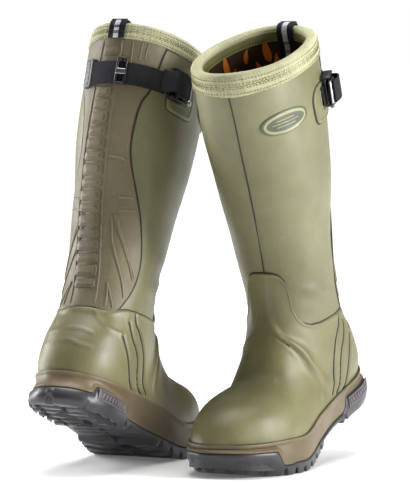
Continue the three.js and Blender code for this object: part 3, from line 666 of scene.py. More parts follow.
def tread(x, y, inset):
    """How far the underside is cut up into the sole."""
    cut = np.zeros_like(x)
    edge = 1 - smooth(2.2, 4.5, inset)
    deep = 4.7 + 3.4 * edge
    plain = smooth(2, 6, x) * smooth(4, 9, y) * (1 - smooth(74, 80, y)) * edge
    for c in (8, 25, 42, 59, 75):
        cut = np.maximum(cut, deep * (1 - plain) * channel(y + .22 * np.abs(x - 1) * np.where(x < 1, 1, -.3) * (1 - edge), c + 2, 7.0, 2.8) * (1 - smooth(84, 88, y)))
    cut = np.maximum(cut, 6.5 * edge * channel(x, -2, 6.5, 2.8) * (1 - smooth(4, 8, y)))
    for c in (-26, 0, 27):
        cut = np.maximum(cut, 4.4 * channel(x, c + 3 * np.sin(y / 9), 4.2, 1.8) * (1 - smooth(80, 84, y)) * smooth(0, 4, y) * (1 - edge))
    # long grooves beside the outer heel edge, in place of the cross channels
    strip = smooth(6, 12, x) * (1 - smooth(76, 82, y)) * smooth(6, 12, y)
    lines = np.zeros_like(x)
    for c in (6.5, 10.5, 14.5):
        lines = np.maximum(lines, 3.2 * channel(inset, c, 1.9, .8))
    inside = smooth(3.6, 4.6, inset) * (1 - smooth(17.5, 18.5, inset)) * strip
    cut = cut * (1 - inside) + lines * inside
    # arch
    cut = np.maximum(cut, 5.0 * smooth(84, 90, y) * (1 - smooth(140, 148, y)))
    for c in (98, 112, 126):
        cut = cut - 1.5 * channel(y, c, 5, 2.0) * smooth(6, 10, inset)
    # forefoot chevrons
    fore = (4.7 + 1.5 * edge) * (1 - edge * smooth(246, 256, y))
    for c in (156, 175, 194, 213, 232, 251, 269):
        cut = np.maximum(cut, fore * channel(y + .38 * np.abs(x - 1) * (1 - .6 * edge) - 6, c, 5.6, 2.2) * smooth(148, 152, y) * (1 - smooth(286, 292, y)))
    cut = np.maximum(cut, 4.2 * channel(x, 1 + 5 * np.sin(y / 17), 5.0, 2.0) * smooth(150, 156, y) * (1 - smooth(280, 286, y)))
    cut = np.maximum(cut, 2.6 * edge * smooth(252, 262, y) * smooth(-.2, .6, np.sin(np.arctan2(x + 4, np.maximum(y - 240, 1)) * 15)))
    return np.maximum(cut, 0)


# ---------------------------------------------------------------- the pieces of one boot
def build(side):
    # ---- shaft skin
    ts = np.concatenate([np.linspace(.1, 1, 12, endpoint=False), np.linspace(1, 8.3, 190)])
    degs = np.arange(0, 360, 1.5)
    T, D = np.meshgrid(ts, degs, indexing="ij")
    P = surf(T, D)
    off = .35 * np.sin(T * 1.9 + np.radians(D) * 1.0) + .3 * np.sin(T * 3.1 - np.radians(D) * 2 + 1.3)
    off = off * smooth(.6, 2.0, T)
    d = near(P, *along(FRONT_SEAM, 160), 12)
    off = off - .55 * np.exp(-(d / 3.0) ** 2)
    # soft folds where the ankle gives
    for t0, d0, a, wt, wd in ((6.1, 62, .9, .22, 26), (5.3, 78, .7, .3, 34), (6.6, -70, .9, .25, 30), (4.6, -80, .5, .35, 30)):
        dd = (D - d0 + 180) % 360 - 180
        off = off + a * np.exp(-((T - t0 - .006 * dd) / wt) ** 2 - (dd / wd) ** 2) - .7 * a * np.exp(-((T - t0 - .42 - .006 * dd) / (wt * 1.2)) ** 2 - (dd / wd) ** 2)
    outer = P + norm(T, D) * off[..., None]
    inner_t = np.linspace(.1, 8.3, 18)
    TI, DI = np.meshgrid(inner_t, degs, indexing="ij")
    b = Bag()
    b.add(*shell(outer, skin(TI, DI, np.full(TI.shape, -2.6))))
    make("shaft_skin", side, b, OLIVE, replaces=("shaft",))

    # ---- foot shell, whole, over the ball
    v = np.concatenate([[0, .0012, .003, .0055], np.linspace(.0085, 1, 236)])
    degs = np.arange(0, 360, 1.25)
    V, D = np.meshgrid(v, degs, indexing="ij")
    E = edge_t(D)
    T = E + (19.93 - E) * V
    P = surf(T, D)
    N = norm(T, D)
    lipmm = (T - E) * 30.0
    off = 1.15 * np.clip(lipmm / 1.1, 0, 1) ** .5 + .25
    off = off + .55 * np.exp(-((lipmm - 3.2) / 2.2) ** 2)
    DD = (D + 180) % 360 - 180
    cp = np.array([(-6, 7.6), (4, 8.0)] + CREASE + [(90, 11.9), (98, 12.8)], float)
    tc = np.interp(DD, cp[:, 0], cp[:, 1])
    slope = np.interp(DD, (cp[1:, 0] + cp[:-1, 0]) / 2, np.diff(cp[:, 1]) / np.diff(cp[:, 0]))
    sd = (T - tc) * 33.0 / np.sqrt(1 + (slope * 33.0 / .95) ** 2)
    fade = smooth(2, 22, DD) * (1 - .55 * smooth(52, 72, DD)) * (1 - smooth(76, 90, DD))
    off = off + fade * (-1.9 * np.exp(-(sd / 1.7) ** 2) + 2.1 * np.exp(-((sd + 5.0) / 4.2) ** 2) + .9 * np.exp(-((sd - 5.5) / 5.0) ** 2) - .8 * np.exp(-((sd + 15) / 6.0) ** 2))
    tm = np.interp(DD, [-80, -60, -40, -25, -12], [11.0, 10.2, 9.5, 8.9, 8.5])
    sm = (T - tm) * 26.0
    off = off + smooth(-85, -66, DD) * (1 - smooth(-24, -10, DD)) * (-1.0 * np.exp(-(sm / 2.6) ** 2) + 1.0 * np.exp(-((sm + 6) / 4.8) ** 2))
    for g in HEEL_GROOVES:
        d = near(P, *along(g, 150), 10)
        off = off - 1.25 * np.exp(-(d / 2.1) ** 2) + .45 * np.exp(-((d - 4.2) / 1.8) ** 2)
    for pairs, a, w in ((FRONT_RIDGE, .85, 3.4), (MEDIAL_RIDGE, .7, 3.0)):
        d = near(P, *along(pairs, 120), 12)
        off = off + a * np.exp(-(d / w) ** 2)
    for g in HEEL_RIDGES:
        d = near(P, *along(g, 140, True), 10)
        off = off + .7 * np.exp(-(d / 2.0) ** 2)
    # counter pressed round the heel, and a slight flat over the toes
    heelish = smooth(7.0, 7.4, T) * (1 - smooth(9.6, 10.6, T)) * smooth(118, 150, np.abs((D + 180) % 360 - 180))
    off = off + .5 * heelish
    off = off + .4 * np.sin(P[..., 1] / 14.0 + 1.0) * np.sin(P[..., 0] / 17.0) * smooth(12, 14, T)
    off = off * 1.0 - 2.0 * smooth(1.0, 5.0, mid_top(P[..., 1]) - P[..., 2])
    outer = P + N * off[..., None]
    VI, DI = np.meshgrid(np.concatenate([[0], np.linspace(.03, 1, 40)]), degs, indexing="ij")
    EI = edge_t(DI)
    TI = EI + (19.9 - EI) * VI
    thin = np.where(TI < 8.45, .06, -.06 - 2.5 * smooth(8.45, 8.8, TI))
    b = Bag()
    b.add(*shell(outer, skin(TI, DI, thin), close_end=True))
    make("foot_shell", side, b, SHELL, mode="foot", bend=True, replaces=("toe_shell", "heel_shell"))

    # ---- back panel with its ribs and raised pads
    zz = np.array([p[1] for p in SEAM_Z], float)
    dd = np.array([p[0] for p in SEAM_Z], float)
    tz = np.array([t_at(a, z) for a, z in SEAM_Z])
    tz[0] = .60
    side_t = np.linspace(.60, 7.08, 420)
    o = np.argsort(tz)
    pts = spline(np.stack([tz[o] * 14, dd[o]], -1), 500)
    seam_deg = np.interp(side_t, pts[:, 0] / 14, pts[:, 1])

    def right_deg(t):
        return np.interp(t, side_t, seam_deg)

    nu, nv = 74, 230
    u = np.concatenate([[0, .003, .008, .016], np.linspace(.03, .97, nu - 8), [.984, .992, .997, 1]])
    vv = np.concatenate([[0, .001, .003, .006], np.linspace(.011, .989, nv - 8), [.994, .997, .999, 1]])
    V, U = np.meshgrid(vv, u, indexing="ij")
    bottom = np.interp(np.abs(U * 2 - 1), [0, .25, .6, 1], [6.86, 6.88, 6.98, 7.08])
    T = .60 + (bottom - .60) * V
    R = right_deg(T)
    D = R + (360 - 2 * R) * U
    width = (360 - 2 * R) * .95
    e1 = np.minimum(U, 1 - U) * width
    e2 = np.minimum((T - .60) * 30, (bottom - T) * 38)
    e = np.minimum(e1, e2)
    off = .15 + 1.45 * np.clip(e / 1.3, 0, 1) ** .5
    # the middle of the panel is a shallow trough either side of the raised column
    a = D - 180
    off = off - .55 * np.exp(-((np.abs(a) - 17) / 7.0) ** 2) * smooth(.7, 1.2, T)
    off = off + .3 * np.sin(T * 2.3 + 1) * np.exp(-(a / 40) ** 2)
    st = np.stack([T * 45, D, 0 * D], -1)
    b = Bag()
    b.add(*slab(skin(T, D, off), skin(T, D, np.full(T.shape, .1)), st))

    def pan(t, a):
        """height of the panel there"""
        return 1.6 - .55 * np.exp(-((np.abs(a - 180) - 17) / 7.0) ** 2) * smooth(.7, 1.2, t) + .3 * np.sin(t * 2.3 + 1) * np.exp(-((a - 180) / 40) ** 2)

    # two long lines beside the column
    for base_pts in ([(173.5, .72), (174, 2.0), (174.5, 3.3), (174.5, 4.3), (172, 5.2), (167.5, 6.1), (164, 6.8)],
                     [(193, .72), (197, 2.0), (202, 3.3), (206, 4.3), (204, 5.2), (200, 6.1), (197, 6.8)],
                     [(163, .72), (163, 1.3), (164, 1.9)], [(153.5, .72), (155, 1.25)], [(148, .72), (150, 1.2)]):
        t, g = along(base_pts, 90)
        b.add(*surface_band(t, g, pan(t, g) + .1, .85, .75))
    # ribs on the outer and inner flank
    flank = [[(160.5, 4.38), (154, 4.7), (144.5, 5.1), (133, 5.62), (122.5, 6.12)], [(157.5, 4.42), (151, 4.74), (141.5, 5.14), (130, 5.66), (121.5, 6.02)],
             [(163, 4.4), (161, 4.75), (158.5, 5.05), (152, 5.42), (144, 5.82), (134, 6.3), (129, 6.6)],
             [(155.5, 6.18), (147, 6.55), (139, 6.9)], [(155.5, 6.18), (152, 6.5), (150, 6.86)],
             [(173, 3.22), (164, 3.21), (156, 3.24)], [(158, 4.02), (148, 4.0), (140, 4.0)], [(158, 4.32), (146, 4.28), (135, 4.25)]]
    for g0 in flank:
        for mirror in (False, True):
            g1 = [(360 - x, y) for x, y in g0] if mirror else g0
            t, g = along(g1, 60)
            keep = g > right_deg(t) + 1.5 if not mirror else (360 - g) > right_deg(t) + 1.5
            if keep.sum() < 8:
                continue
            t, g = t[keep], g[keep]
            b.add(*surface_band(t, g, pan(t, g) + .15, 1.05, .85))
    # raised pads down the column
    k = 0
    t = .93
    while t < 6.5:
        g = np.interp(t, [.7, 1.6, 2.0, 3.0, 3.9, 4.6, 5.6, 6.5], [183.0, 184.5, 185.5, 188.0, 190.5, 190.0, 186.0, 181.5])
        wide = np.interp(t, [.7, 2.0, 3.0, 3.9, 5.6, 6.5], [15, 18, 22, 25, 25, 22])
        tall = (9.5, 12.5, 9.5, 11.0)[k % 4]
        mm = float(np.linalg.norm(surf(t + .1, g) - surf(t - .1, g)) / .2)
        t += (tall / 2) / mm
        if not 1.2 < t < 1.88 and t < 6.5:
            a0 = float(pan(t, g))
            b.add(*patch(t, g, rrect(wide, tall, 2.6), 1.5, low=-.6, base=a0, round_=.9))
            b.add(*patch(t, g, rrect(wide - 6.4, tall - 5.0, 1.9), .8, low=-.3, base=a0 + 1.5, round_=.5))
        t += (tall / 2 + 3.0) / mm
        k += 1
    make("back_cover", side, b, PANEL, replaces=("back_panel",), smooth_angle=50)

    # ---- dark lines: seams round the panel and down the front, darkened partly as painted shade in their grooves; painted shadow under the shell's edge and in the heel grooves
    b = Bag()
    t = np.linspace(.62, 7.06, 260)
    g = right_deg(t) - .9
    b.add(*surface_band(t, g, np.full(t.shape, .25), 1.0, .95, taper=False))
    b.add(*surface_band(t, 360 - g, np.full(t.shape, .25), 1.0, .95, taper=False))
    t, g = along(FRONT_SEAM, 160)
    b.add(*surface_band(t, g, np.full(t.shape, -.35), .75, .62))
    make("seams", side, b, SEAM_AND_SHADE)
    # painted shadow: a dark line just under the shell's top edge, and dark lines down in the heel grooves
    b = Bag()
    g = np.arange(0, 360, 1.0)
    t = edge_t(g)
    w = np.abs((g + 180) % 360 - 180)
    p = skin(t - .022, g, np.full(t.shape, .05))
    b.add(*sweep(p, norm(t, g), rounded(.75, .7, .68), closed=True))
    for gr in HEEL_GROOVES:
        t, g = along(gr, 150)
        b.add(*surface_band(t, g, np.full(t.shape, .75), 1.05, .55))
    make("shell_shadow_lines", side, b, SEAM_AND_SHADE, mode="foot", bend=True)
    # a pale moulded edge where the shell drops down the side of the instep
    b = Bag()
    for sgn in (1, -1):
        g = np.linspace(19, 47, 60) * sgn
        t = edge_t(g) + .035
        b.add(*surface_band(t, g, np.full(t.shape, 1.5), .7, .5))
    make("shell_edge", side, b, SHELL, mode="foot", bend=True)

    # ---- lining
    ts = np.linspace(.12, 6.26, 90)
    degs = np.arange(0, 360, 3.0)
    T, D = np.meshgrid(ts, degs, indexing="ij")
    inner = skin(T, D, -7.1 - .25 * np.sin(T * 5 + np.radians(D) * 3))
    st = np.stack([T * 40, D * 1.0, 0 * D], -1)
    TO, DO = np.meshgrid(ts[[0, 20, 40, 60, 89]], degs, indexing="ij")
    outer = skin(TO, DO, np.full(TO.shape, -3.0))
    b = Bag()
    v_, q_, p_, s_ = shell(inner, outer, st)
    b.add(v_, q_, p_, s_)
    make("shaft_sock", side, b, LINING, replaces=("shaft_lining",))
    ts = np.concatenate([np.linspace(6.3, 19.5, 110)])
    T, D = np.meshgrid(ts, degs, indexing="ij")
    TO, DO = np.meshgrid(np.linspace(6.3, 19.55, 34), degs, indexing="ij")
    b = Bag()
    b.add(*shell(skin(T, D, np.full(T.shape, -7.3)), skin(TO, DO, np.full(TO.shape, -3.2)), np.stack([T * 25, D * 1.0, 0 * D], -1), close_end=True))
    make("foot_sock", side, b, LINING, mode="foot", bend=True, replaces=("toe_lining", "foot_lining"))
    # printed leaves on the lining
    b = Bag()
    g = np.linspace(0, 2 * np.pi, 30, endpoint=False)
    for row, t in enumerate(np.arange(.80, 4.6, .46)):
        for k in range(14):
            deg = k * 360 / 14 + (12.86 if row % 2 else 0) + rng.uniform(-3, 3)
            big = (k + row) % 2 == 0
            L = (13.0 if big else 8.0) * rng.uniform(.92, 1.08)
            W = (4.3 if big else 2.9)
            y = L * np.cos(g)
            x = W * np.sin(g) * (1 - .62 * np.cos(g)) ** .9
            bend = rng.uniform(.012, .022) * rng.choice([-1, 1])
            x = x + bend * (y ** 2 - L * L * .4)
            out = np.stack([x, y], -1)
            tc = t + rng.uniform(-.05, .05)
            v_, q_, p_, s_ = patch(tc, deg, out, -.22, low=.25, base=-7.2, round_=0.02, turn=rng.uniform(-16, 16), rings=(.6, .3))
            b.add(v_, q_, p_, None)
    make("lining_print", side, b, PRINT)

    # ---- binding: folded over the rim
    degs = np.arange(0, 360, .9)
    prof = [(1.0, .655), (1.55, .662), (2.05, .645), (2.25, .60), (2.1, .56), (2.45, .50), (2.5, .44), (2.15, .40), (2.45, .34), (2.5, .28), (2.15, .235),
            (2.45, .17), (2.5, .12), (2.3, .06), (1.9, .01), (1.1, -.035), (-.2, -.065), (-1.8, -.08), (-3.6, -.085), (-5.4, -.08), (-7.0, -.065), (-8.2, -.035),
            (-8.9, .01), (-9.2, .06), (-9.3, .10), (-8.9, .12), (-7.4, .12), (-7.4, .085), (-3.5, .085), (.25, .085), (.25, .3), (.25, .62)]
    prof = np.array(prof)
    OFF, D = np.meshgrid(prof[:, 0], degs, indexing="ij")
    T = np.broadcast_to(prof[:, 1][:, None], D.shape)
    puck = .14 * np.sin(np.radians(D) * 62) * (OFF > 1.2) + .25 * np.sin(np.radians(D) * 5 + 1) * (OFF > .9)
    lower = (T > .5) & (OFF > .9)
    T2 = T + np.where(lower, .018 * np.sin(np.radians(D) * 3 + .5) + .012 * np.sin(np.radians(D) * 7), 0)
    P = skin(T2, D, OFF + puck)
    P[..., 2] += .4 * np.sin(np.radians(D) * 4) * (T < .2)
    b = Bag()
    r, c, _ = P.shape
    st = np.stack([D * 1.35, np.cumsum(np.concatenate([[0], np.hypot(np.diff(prof[:, 0]), np.diff(prof[:, 1]) * 31)]))[:, None] + 0 * D, 0 * D], -1)
    b.add(P, grid_quads(r, c, wrap_c=True, wrap_r=True), [], st)
    make("cuff_tape", side, b, BINDING, replaces=("cuff_binding",), smooth_angle=70)
    # inner tape down the inside of the rim: olive green, partly painted shade
    prof = np.array([(-7.35, .13), (-8.9, .13), (-9.3, .16), (-9.15, .22), (-9.4, .28), (-9.4, .36), (-9.15, .41), (-9.35, .46), (-9.1, .50), (-8.5, .515), (-7.35, .51)])
    OFF, D = np.meshgrid(prof[:, 0], degs, indexing="ij")
    T = np.broadcast_to(prof[:, 1][:, None], D.shape)
    P = skin(T, D, OFF)
    b = Bag()
    r, c, _ = P.shape
    st = np.stack([D * 1.35, T * 31, 0 * D], -1)
    b.add(P, grid_quads(r, c, wrap_c=True, wrap_r=True), [], st)
    make("cuff_tape_inner", side, b, BINDING_IN, smooth_angle=70)

    def row_of(t, off, pitch, length, r, bag, slant=0.0, amp=0.0, phase=0):
        """A row of stitches round the rim; amp makes a zigzag."""
        fine = np.arange(0, 360, .25)
        ring = skin(np.full(fine.shape, t), fine, np.full(fine.shape, off))
        s = np.concatenate([[0], np.cumsum(np.linalg.norm(np.diff(ring, axis=0), axis=1))])
        n = int(s[-1] / pitch)
        if amp:
            n -= n % 2
        a = np.interp(np.arange(n) * s[-1] / n, s, fine)
        d = np.interp(np.arange(n) * s[-1] / n + length, s, fine, right=360.0)
        if amp:
            sg = np.where(np.arange(n) % 2 == 0, 1, -1)
            t0, t1 = t + amp * sg, t - amp * sg
        else:
            t0, t1 = np.full(n, t + slant), np.full(n, t - slant)
        up = norm(np.full(n, t), a) * (1 if off > -4 else -1)
        bag.add(*stitches(skin(t0, a, np.full(n, off)), skin(t1, d, np.full(n, off)), up, r))

    b = Bag()
    for t, o_ in ((.575, 2.15), (.40, 2.15), (.235, 2.15), (.09, 2.42)):
        row_of(t, o_, 3.5, 2.3, .42, b)
    row_of(.32, 2.42, 2.4, 2.3, .34, b, amp=.045)
    row_of(.34, -9.3, 2.6, 2.5, .36, b, amp=.045)
    row_of(.22, -9.1, 3.4, 2.3, .38, b)
    make("cuff_stitching", side, b, THREAD, smooth_angle=180)
    b = Bag()
    row_of(.635, 2.1, 2.5, 2.4, .34, b, amp=.022)
    row_of(.47, -9.25, 3.3, 2.2, .36, b)
    make("cuff_edge_stitching", side, b, THREAD_PALE, smooth_angle=180)

    # ---- pull strap over the back of the rim
    stations = [(3.2, .665), (3.3, .6), (3.5, .45), (3.6, .25), (3.4, .08), (2.6, -.04), (.6, -.125), (-3.4, -.15), (-7.6, -.125), (-9.9, -.04), (-10.6, .08), (-10.7, .25),
                (-10.6, .45), (-9.3, .62), (-8.4, .8), (-8.3, 1.1), (-8.3, 1.5), (-8.3, 2.0), (-8.3, 2.3)]
    pp = spline(np.array(stations) * [1, 31], 120) / [1, 31]
    path = skin(pp[:, 1], np.full(len(pp), 180.0), pp[:, 0])
    sidev = np.tile(np.array([[1.0, 0, 0]]), (len(path), 1))
    b = Bag()
    b.add(*sweep(path, None if False else path * 0 + [0, 0, 1], rounded(9.4, .85, .7, 4), side=sidev))
    make("pull_loop", side, b, WEB, replaces=("pull_strap",), smooth_angle=50)
    b = Bag()
    tan = unit(np.gradient(path, axis=0))
    upv = unit(np.cross(tan, sidev))
    if upv[0, 1] > 0:
        upv = -upv
    b.add(*sweep(path + upv * .95, path * 0, rounded(2.9, .32, .25, 3), side=sidev))
    make("pull_stripe", side, b, STRIPE, smooth_angle=50)
    b = Bag()
    for k in (7, 16, 27, 60, 72):
        for row in (0, 1.6):
            x = np.arange(-8.6, 8.0, 2.0)
            c0 = path[k] + upv[k] * 1.25 + tan[k] * row
            p0 = c0 + np.stack([x, 0 * x, 0 * x], -1)
            b.add(*stitches(p0, p0 + [1.9, 0, 0], np.tile(upv[k], (len(x), 1)), .5))
    for sx in (-7.4, 7.4):
        k0 = np.arange(4, 112, 2)
        b.add(*stitches(path[k0] + upv[k0] * .95 + [sx, 0, 0], path[k0 + 1] + upv[k0 + 1] * .95 + [sx, 0, 0], upv[k0], .36))
    make("pull_stitching", side, b, THREAD_BLACK, smooth_angle=180)

    # ---- calf strap
    def strap(d0, d1, o0, o1, tmid=1.56, hw=12.4, hh=.8, n=70, bag=None):
        g = np.linspace(d0, d1, n)
        o = np.interp(g, sorted((d0, d1)), (o0, o1) if d0 < d1 else (o1, o0))
        t = np.full(n, tmid)
        p = skin(t, g, o)
        up = norm(t, g)
        sd = unit(skin(t - .1, g, o) - skin(t + .1, g, o))
        bag.add(*sweep(p, up, rounded(hw, hh, .7, 4), side=sd))
        return p, up, sd

    b = Bag()
    p, up, sd = strap(164.5, 206, 2.9, 2.9, hw=12.2, hh=1.15, bag=b)
    make("strap_loop_webbing", side, b, FUZZ, smooth_angle=60)
    b = Bag()
    p, up, sd = strap(128, 172.5, 3.2, 2.8, hw=11.9, hh=.8, bag=b)
    make("strap_webbing", side, b, WEB, replaces=("calf_strap",), smooth_angle=60)
    b = Bag()
    for s_ in (-10.4, 10.4):
        k0 = np.arange(2, 44, 2)
        b.add(*stitches(p[k0] + up[k0] * .8 + sd[k0] * s_, p[k0 + 1] + up[k0 + 1] * .8 + sd[k0 + 1] * s_, up[k0], .3))
    make("strap_stitching", side, b, THREAD_BLACK, smooth_angle=180)
    # keeper: rubber tab with a raised strip, and a row of five small raised grey discs
    b = Bag()
    out = rrect(14.5, 31, 3.2)
    b.add(*patch(1.52, 206.5, out, 4.9, low=-.2, round_=1.5))
    b.add(*patch(1.52, 206.5, rrect(6.2, 27, 2.2), .5, base=4.8, round_=.45))
    make("strap_holder", side, b, BLACK_RUBBER, replaces=("strap_keeper",), smooth_angle=50)
    b = Bag()
    for y in np.linspace(-10.5, 10.5, 5):
        b.add(*patch(1.52 - y / 50, 206.5, ellipse(1.3, 1.3, 14), .25, base=5.3, round_=.2, rings=(.5,)))
    make("strap_holder_dots", side, b, DOTS, smooth_angle=50)

    # anchor patch with its raised border
    b = Bag()
    o_ = np.array([(-19, 17.5), (-6, 19.2), (9, 19.5), (18.5, 16.5), (23.5, 8), (23.0, -6), (21.0, -15.5), (16, -19.2), (2, -20.2), (-12, -20.0), (-19, -17.5), (-21, -8), (-21, 8)])
    o_ = spline(o_ * [-1, 1], 96, closed=True)
    b.add(*patch(1.66, 107.5, o_, 1.9, low=-.3, round_=1.2, rings=(.9, .8, .65, .45, .25)))

    def border(o2, base, hw, hh, bag, closed=True):
        q = on(1.66, 107.5, o2[:, 0], o2[:, 1], np.full(len(o2), base))
        w = on(1.66, 107.5, o2[:, 0], o2[:, 1], np.full(len(o2), base + 1.0))
        bag.add(*sweep(q, w - q, rounded(hw, hh, min(hw, hh), 3), closed=closed))

    cen = o_.mean(0)
    border(cen + (o_ - cen) * .86, 1.85, .8, .55, b)
    border(spline(rrect(21.5, 20, 3.5, 4) + [1.0, 1.5], 90, closed=True), 1.9, 1.0, .75, b)
    make("strap_patch", side, b, OLIVE, replaces=("strap_anchor",), smooth_angle=50)
    # painted shadow: a dark line round the foot of the patch's edge
    b = Bag()
    border(cen + (o_ - cen) * 1.025, .15, .7, .6, b)
    make("strap_patch_shadow_line", side, b, SEAM_AND_SHADE, smooth_angle=50)

    # ---- buckle, in the frame the CAD gives it: x along the strap, y up the shaft, z out
    def stand(t, deg, offv):
        k = np.array(deg)
        def lay(tt, dd2, oo):
            return skin(np.array(float(tt)), np.array(float(dd2)), np.array(float(oo)))
        p = lay(t, deg, offv)
        x = unit(lay(t, deg + 4, offv) - lay(t, deg - 4, offv))
        u_ = lay(t - .1, deg, offv) - lay(t + .1, deg, offv)
        z = unit(np.cross(x, u_))
        if z @ norm(np.array(t), k) < 0:
            z = -z
        return p, x, unit(np.cross(z, x)), z

    BP, BX, BY, BZ = stand(1.53, 117, 2.0)
    SP, SXX, SYY, SZZ = stand(1.53, 170, 2.0)

    def at(p, frame_):
        o0, x0, y0, z0 = frame_
        p = np.asarray(p, float)
        return o0 + p[..., :1] * x0 + p[..., 1:2] * y0 + p[..., 2:3] * z0

    FB, FS = (BP, BX, BY, BZ), (SP, SXX, SYY, SZZ)

    def bar(bag, fr, a, b_, hw, hh, r, updir=(0, 0, 1), n=2, ends=True):
        """A straight rounded bar from a to b_ in a frame."""
        path_ = np.linspace(a, b_, max(n, 6))
        sc = None
        w_ = at(path_, fr)
        u_ = at(path_ + np.array(updir), fr) - w_
        if ends:
            L = np.linalg.norm(np.asarray(b_, float) - a)
            f = np.array([0, min(.3, .35 / L), min(.4, 1.1 / L), 1 - min(.4, 1.1 / L), 1 - min(.3, .35 / L), 1])
            w_ = at(np.asarray(a, float) + (np.asarray(b_, float) - a) * f[:, None], fr)
            u_ = np.tile(u_[:1], (6, 1))
            sc = np.array([.72, .93, 1, 1, .93, .72])
        bag.add(*sweep(w_, u_, rounded(hw, hh, r, 4), scale=sc))

    b = Bag()
    bar(b, FB, (-11, 0, .9), (11, 0, .9), 15.8, 1.0, .8)          # base plate
    for y in (-15.2, 15.2):                                          # cheeks, rounded at the top
        bar(b, FB, (-10.5, y, 4.2), (10.5, y, 4.2), 1.3, 4.6, 1.2)
    bar(b, FB, (10.2, -14, 2.6), (10.2, 14, 2.6), 1.6, 1.5, 1.3)
    bar(b, FB, (-10.6, -14, 2.4), (-10.6, 14, 2.4), 1.5, 1.3, 1.2)
    make("buckle_body", side, b, PLASTIC, replaces=("buckle_frame",), smooth_angle=45)
    # lever: a bowed plate on a hub
    b = Bag()
    px = np.linspace(2.2, -15.4, 26)
    pz = 9.6 - .021 * (px + 3.5) ** 2 - 1.2 * smooth(0, 4, px)
    path_ = np.stack([px, 0 * px, pz], -1)
    w_ = at(path_, FB)
    sc = np.interp(np.arange(26), [0, 1, 3, 21, 24, 25], [.86, .95, 1, 1, .96, .84])
    sd_ = np.tile(BY, (26, 1))
    b.add(*sweep(w_, None if False else w_ * 0, rounded(12.6, 1.6, 1.3, 5), side=sd_, scale=sc))
    for yy in (-9, -4.5, 0, 4.5, 9):
        k = slice(12, 23)
        q = at(np.stack([px[k], 0 * px[k] + yy, pz[k] + 1.75], -1), FB)
        b.add(*sweep(q, np.tile(BZ, (11, 1)), rounded(.75, .5, .45)))
    g = np.linspace(0, 2 * np.pi, 25)[:-1]
    ring = np.stack([np.cos(g) * 3.2, np.sin(g) * 3.2], -1)
    hub = [at(np.concatenate([ring * s2, np.full((24, 1), 0)], 1)[:, [0, 2, 1]] + np.array([0, y, 6.0]), FB) for y, s2 in ((-12.6, .8), (-12.1, 1), (12.1, 1), (12.6, .8))]
    hv = np.concatenate(hub)
    b.add(hv, grid_quads(4, 24, wrap_c=True), [list(range(24))[::-1], list(range(72, 96))])
    make("buckle_cam", side, b, PLASTIC, body="lever", replaces=("buckle_lever",), smooth_angle=45)
    # front pin with its knob, on the lever
    b = Bag()

    def rod(bag, fr, c0, c1, rad, n=16, prof_=((0, .75), (.03, 1), (.97, 1), (1, .75))):
        c0, c1 = np.asarray(c0, float), np.asarray(c1, float)
        ax = unit(c1 - c0)
        h_ = np.array([1.0, 0, 0]) if abs(ax[0]) < .8 else np.array([0, 0, 1.0])
        e1_, e2_ = unit(np.cross(ax, h_)), None
        e2_ = np.cross(ax, e1_)
        gg = np.linspace(0, 2 * np.pi, n, endpoint=False)
        rows = [c0 + (c1 - c0) * f + (np.cos(gg)[:, None] * e1_ + np.sin(gg)[:, None] * e2_) * rad * s2 for f, s2 in prof_]
        bag.add(at(np.concatenate(rows), fr), grid_quads(len(rows), n, wrap_c=True), [list(range(n))[::-1], list((len(rows) - 1) * n + np.arange(n))])

    rod(b, FB, (-15.6, -12.5, 8.2), (-15.6, 12.0, 8.2), 1.25)
    rod(b, FB, (-15.6, 11.0, 8.2), (-15.6, 16.5, 8.2), 2.9, prof_=((0, .55), (.12, .9), (.3, 1), (.42, .8), (.52, 1), (.8, .95), (.95, .6), (1, .3)))
    make("buckle_pin", side, b, STEEL, body="lever", smooth_angle=45)
    b = Bag()
    rod(b, FB, (0, -14.2, 6.0), (0, 14.2, 6.0), 1.15)
    make("buckle_axle", side, b, STEEL, replaces=("buckle_bar",), smooth_angle=45)
    # webbing folded up and over behind the buckle
    b = Bag()
    loop = spline(np.array([(20, 1.2), (15.5, 3.6), (13.2, 8.0), (12.2, 12.2), (9.0, 14.6), (3.0, 14.9), (-3.5, 14.0), (-9.0, 12.0), (-12.6, 10.9)]), 60)
    path_ = np.stack([loop[:, 0], 0 * loop[:, 0], loop[:, 1]], -1)
    w_ = at(path_, FB)
    b.add(*sweep(w_, w_ * 0, rounded(11.8, .8, .7, 4), side=np.tile(BY, (60, 1))))
    make("strap_fold", side, b, WEB, smooth_angle=60)
    # free end, folded over the patch
    b = Bag()
    g = np.linspace(113.5, 102.5, 30)
    o2 = 3.0 + 1.1 * smooth(104, 112, g)
    t = np.full(30, 1.56)
    p = skin(t, g, o2)
    sd_ = unit(skin(t - .1, g, o2) - skin(t + .1, g, o2))
    sc = np.interp(np.arange(30), [0, 24, 27, 29], [1, 1, .96, .82])
    b.add(*sweep(p, p * 0, rounded(10.8, .8, .7, 4), side=sd_, scale=sc))
    make("strap_tail", side, b, WEB, replaces=("strap_end",), smooth_angle=60)

    # ---- slider: a window frame with a cross bar and its metal sleeve
    b = Bag()
    for x in (-5.0, 5.0):
        bar(b, FS, (x * .92, -14.2, 3.6), (x * .92, 14.2, 3.6), 1.2, 1.5, 1.0)
    for y in (-13.4, 13.4):
        bar(b, FS, (-5.4, y, 2.9), (5.4, y, 2.9), 1.3, 2.3, 1.0)
    bar(b, FS, (0, -13.6, 2.9), (0, 13.6, 2.9), .9, .8, .7)
    make("slider_frame", side, b, PLASTIC, body="slider", replaces=("strap_slider",), smooth_angle=45)
    b = Bag()
    bar(b, FS, (-5.2, 1.0, 4.9), (5.2, 1.0, 4.9), 3.2, 1.2, 1.15)
    make("slider_sleeve", side, b, GUNMETAL, body="slider", replaces=("slider_bar",), smooth_angle=45)

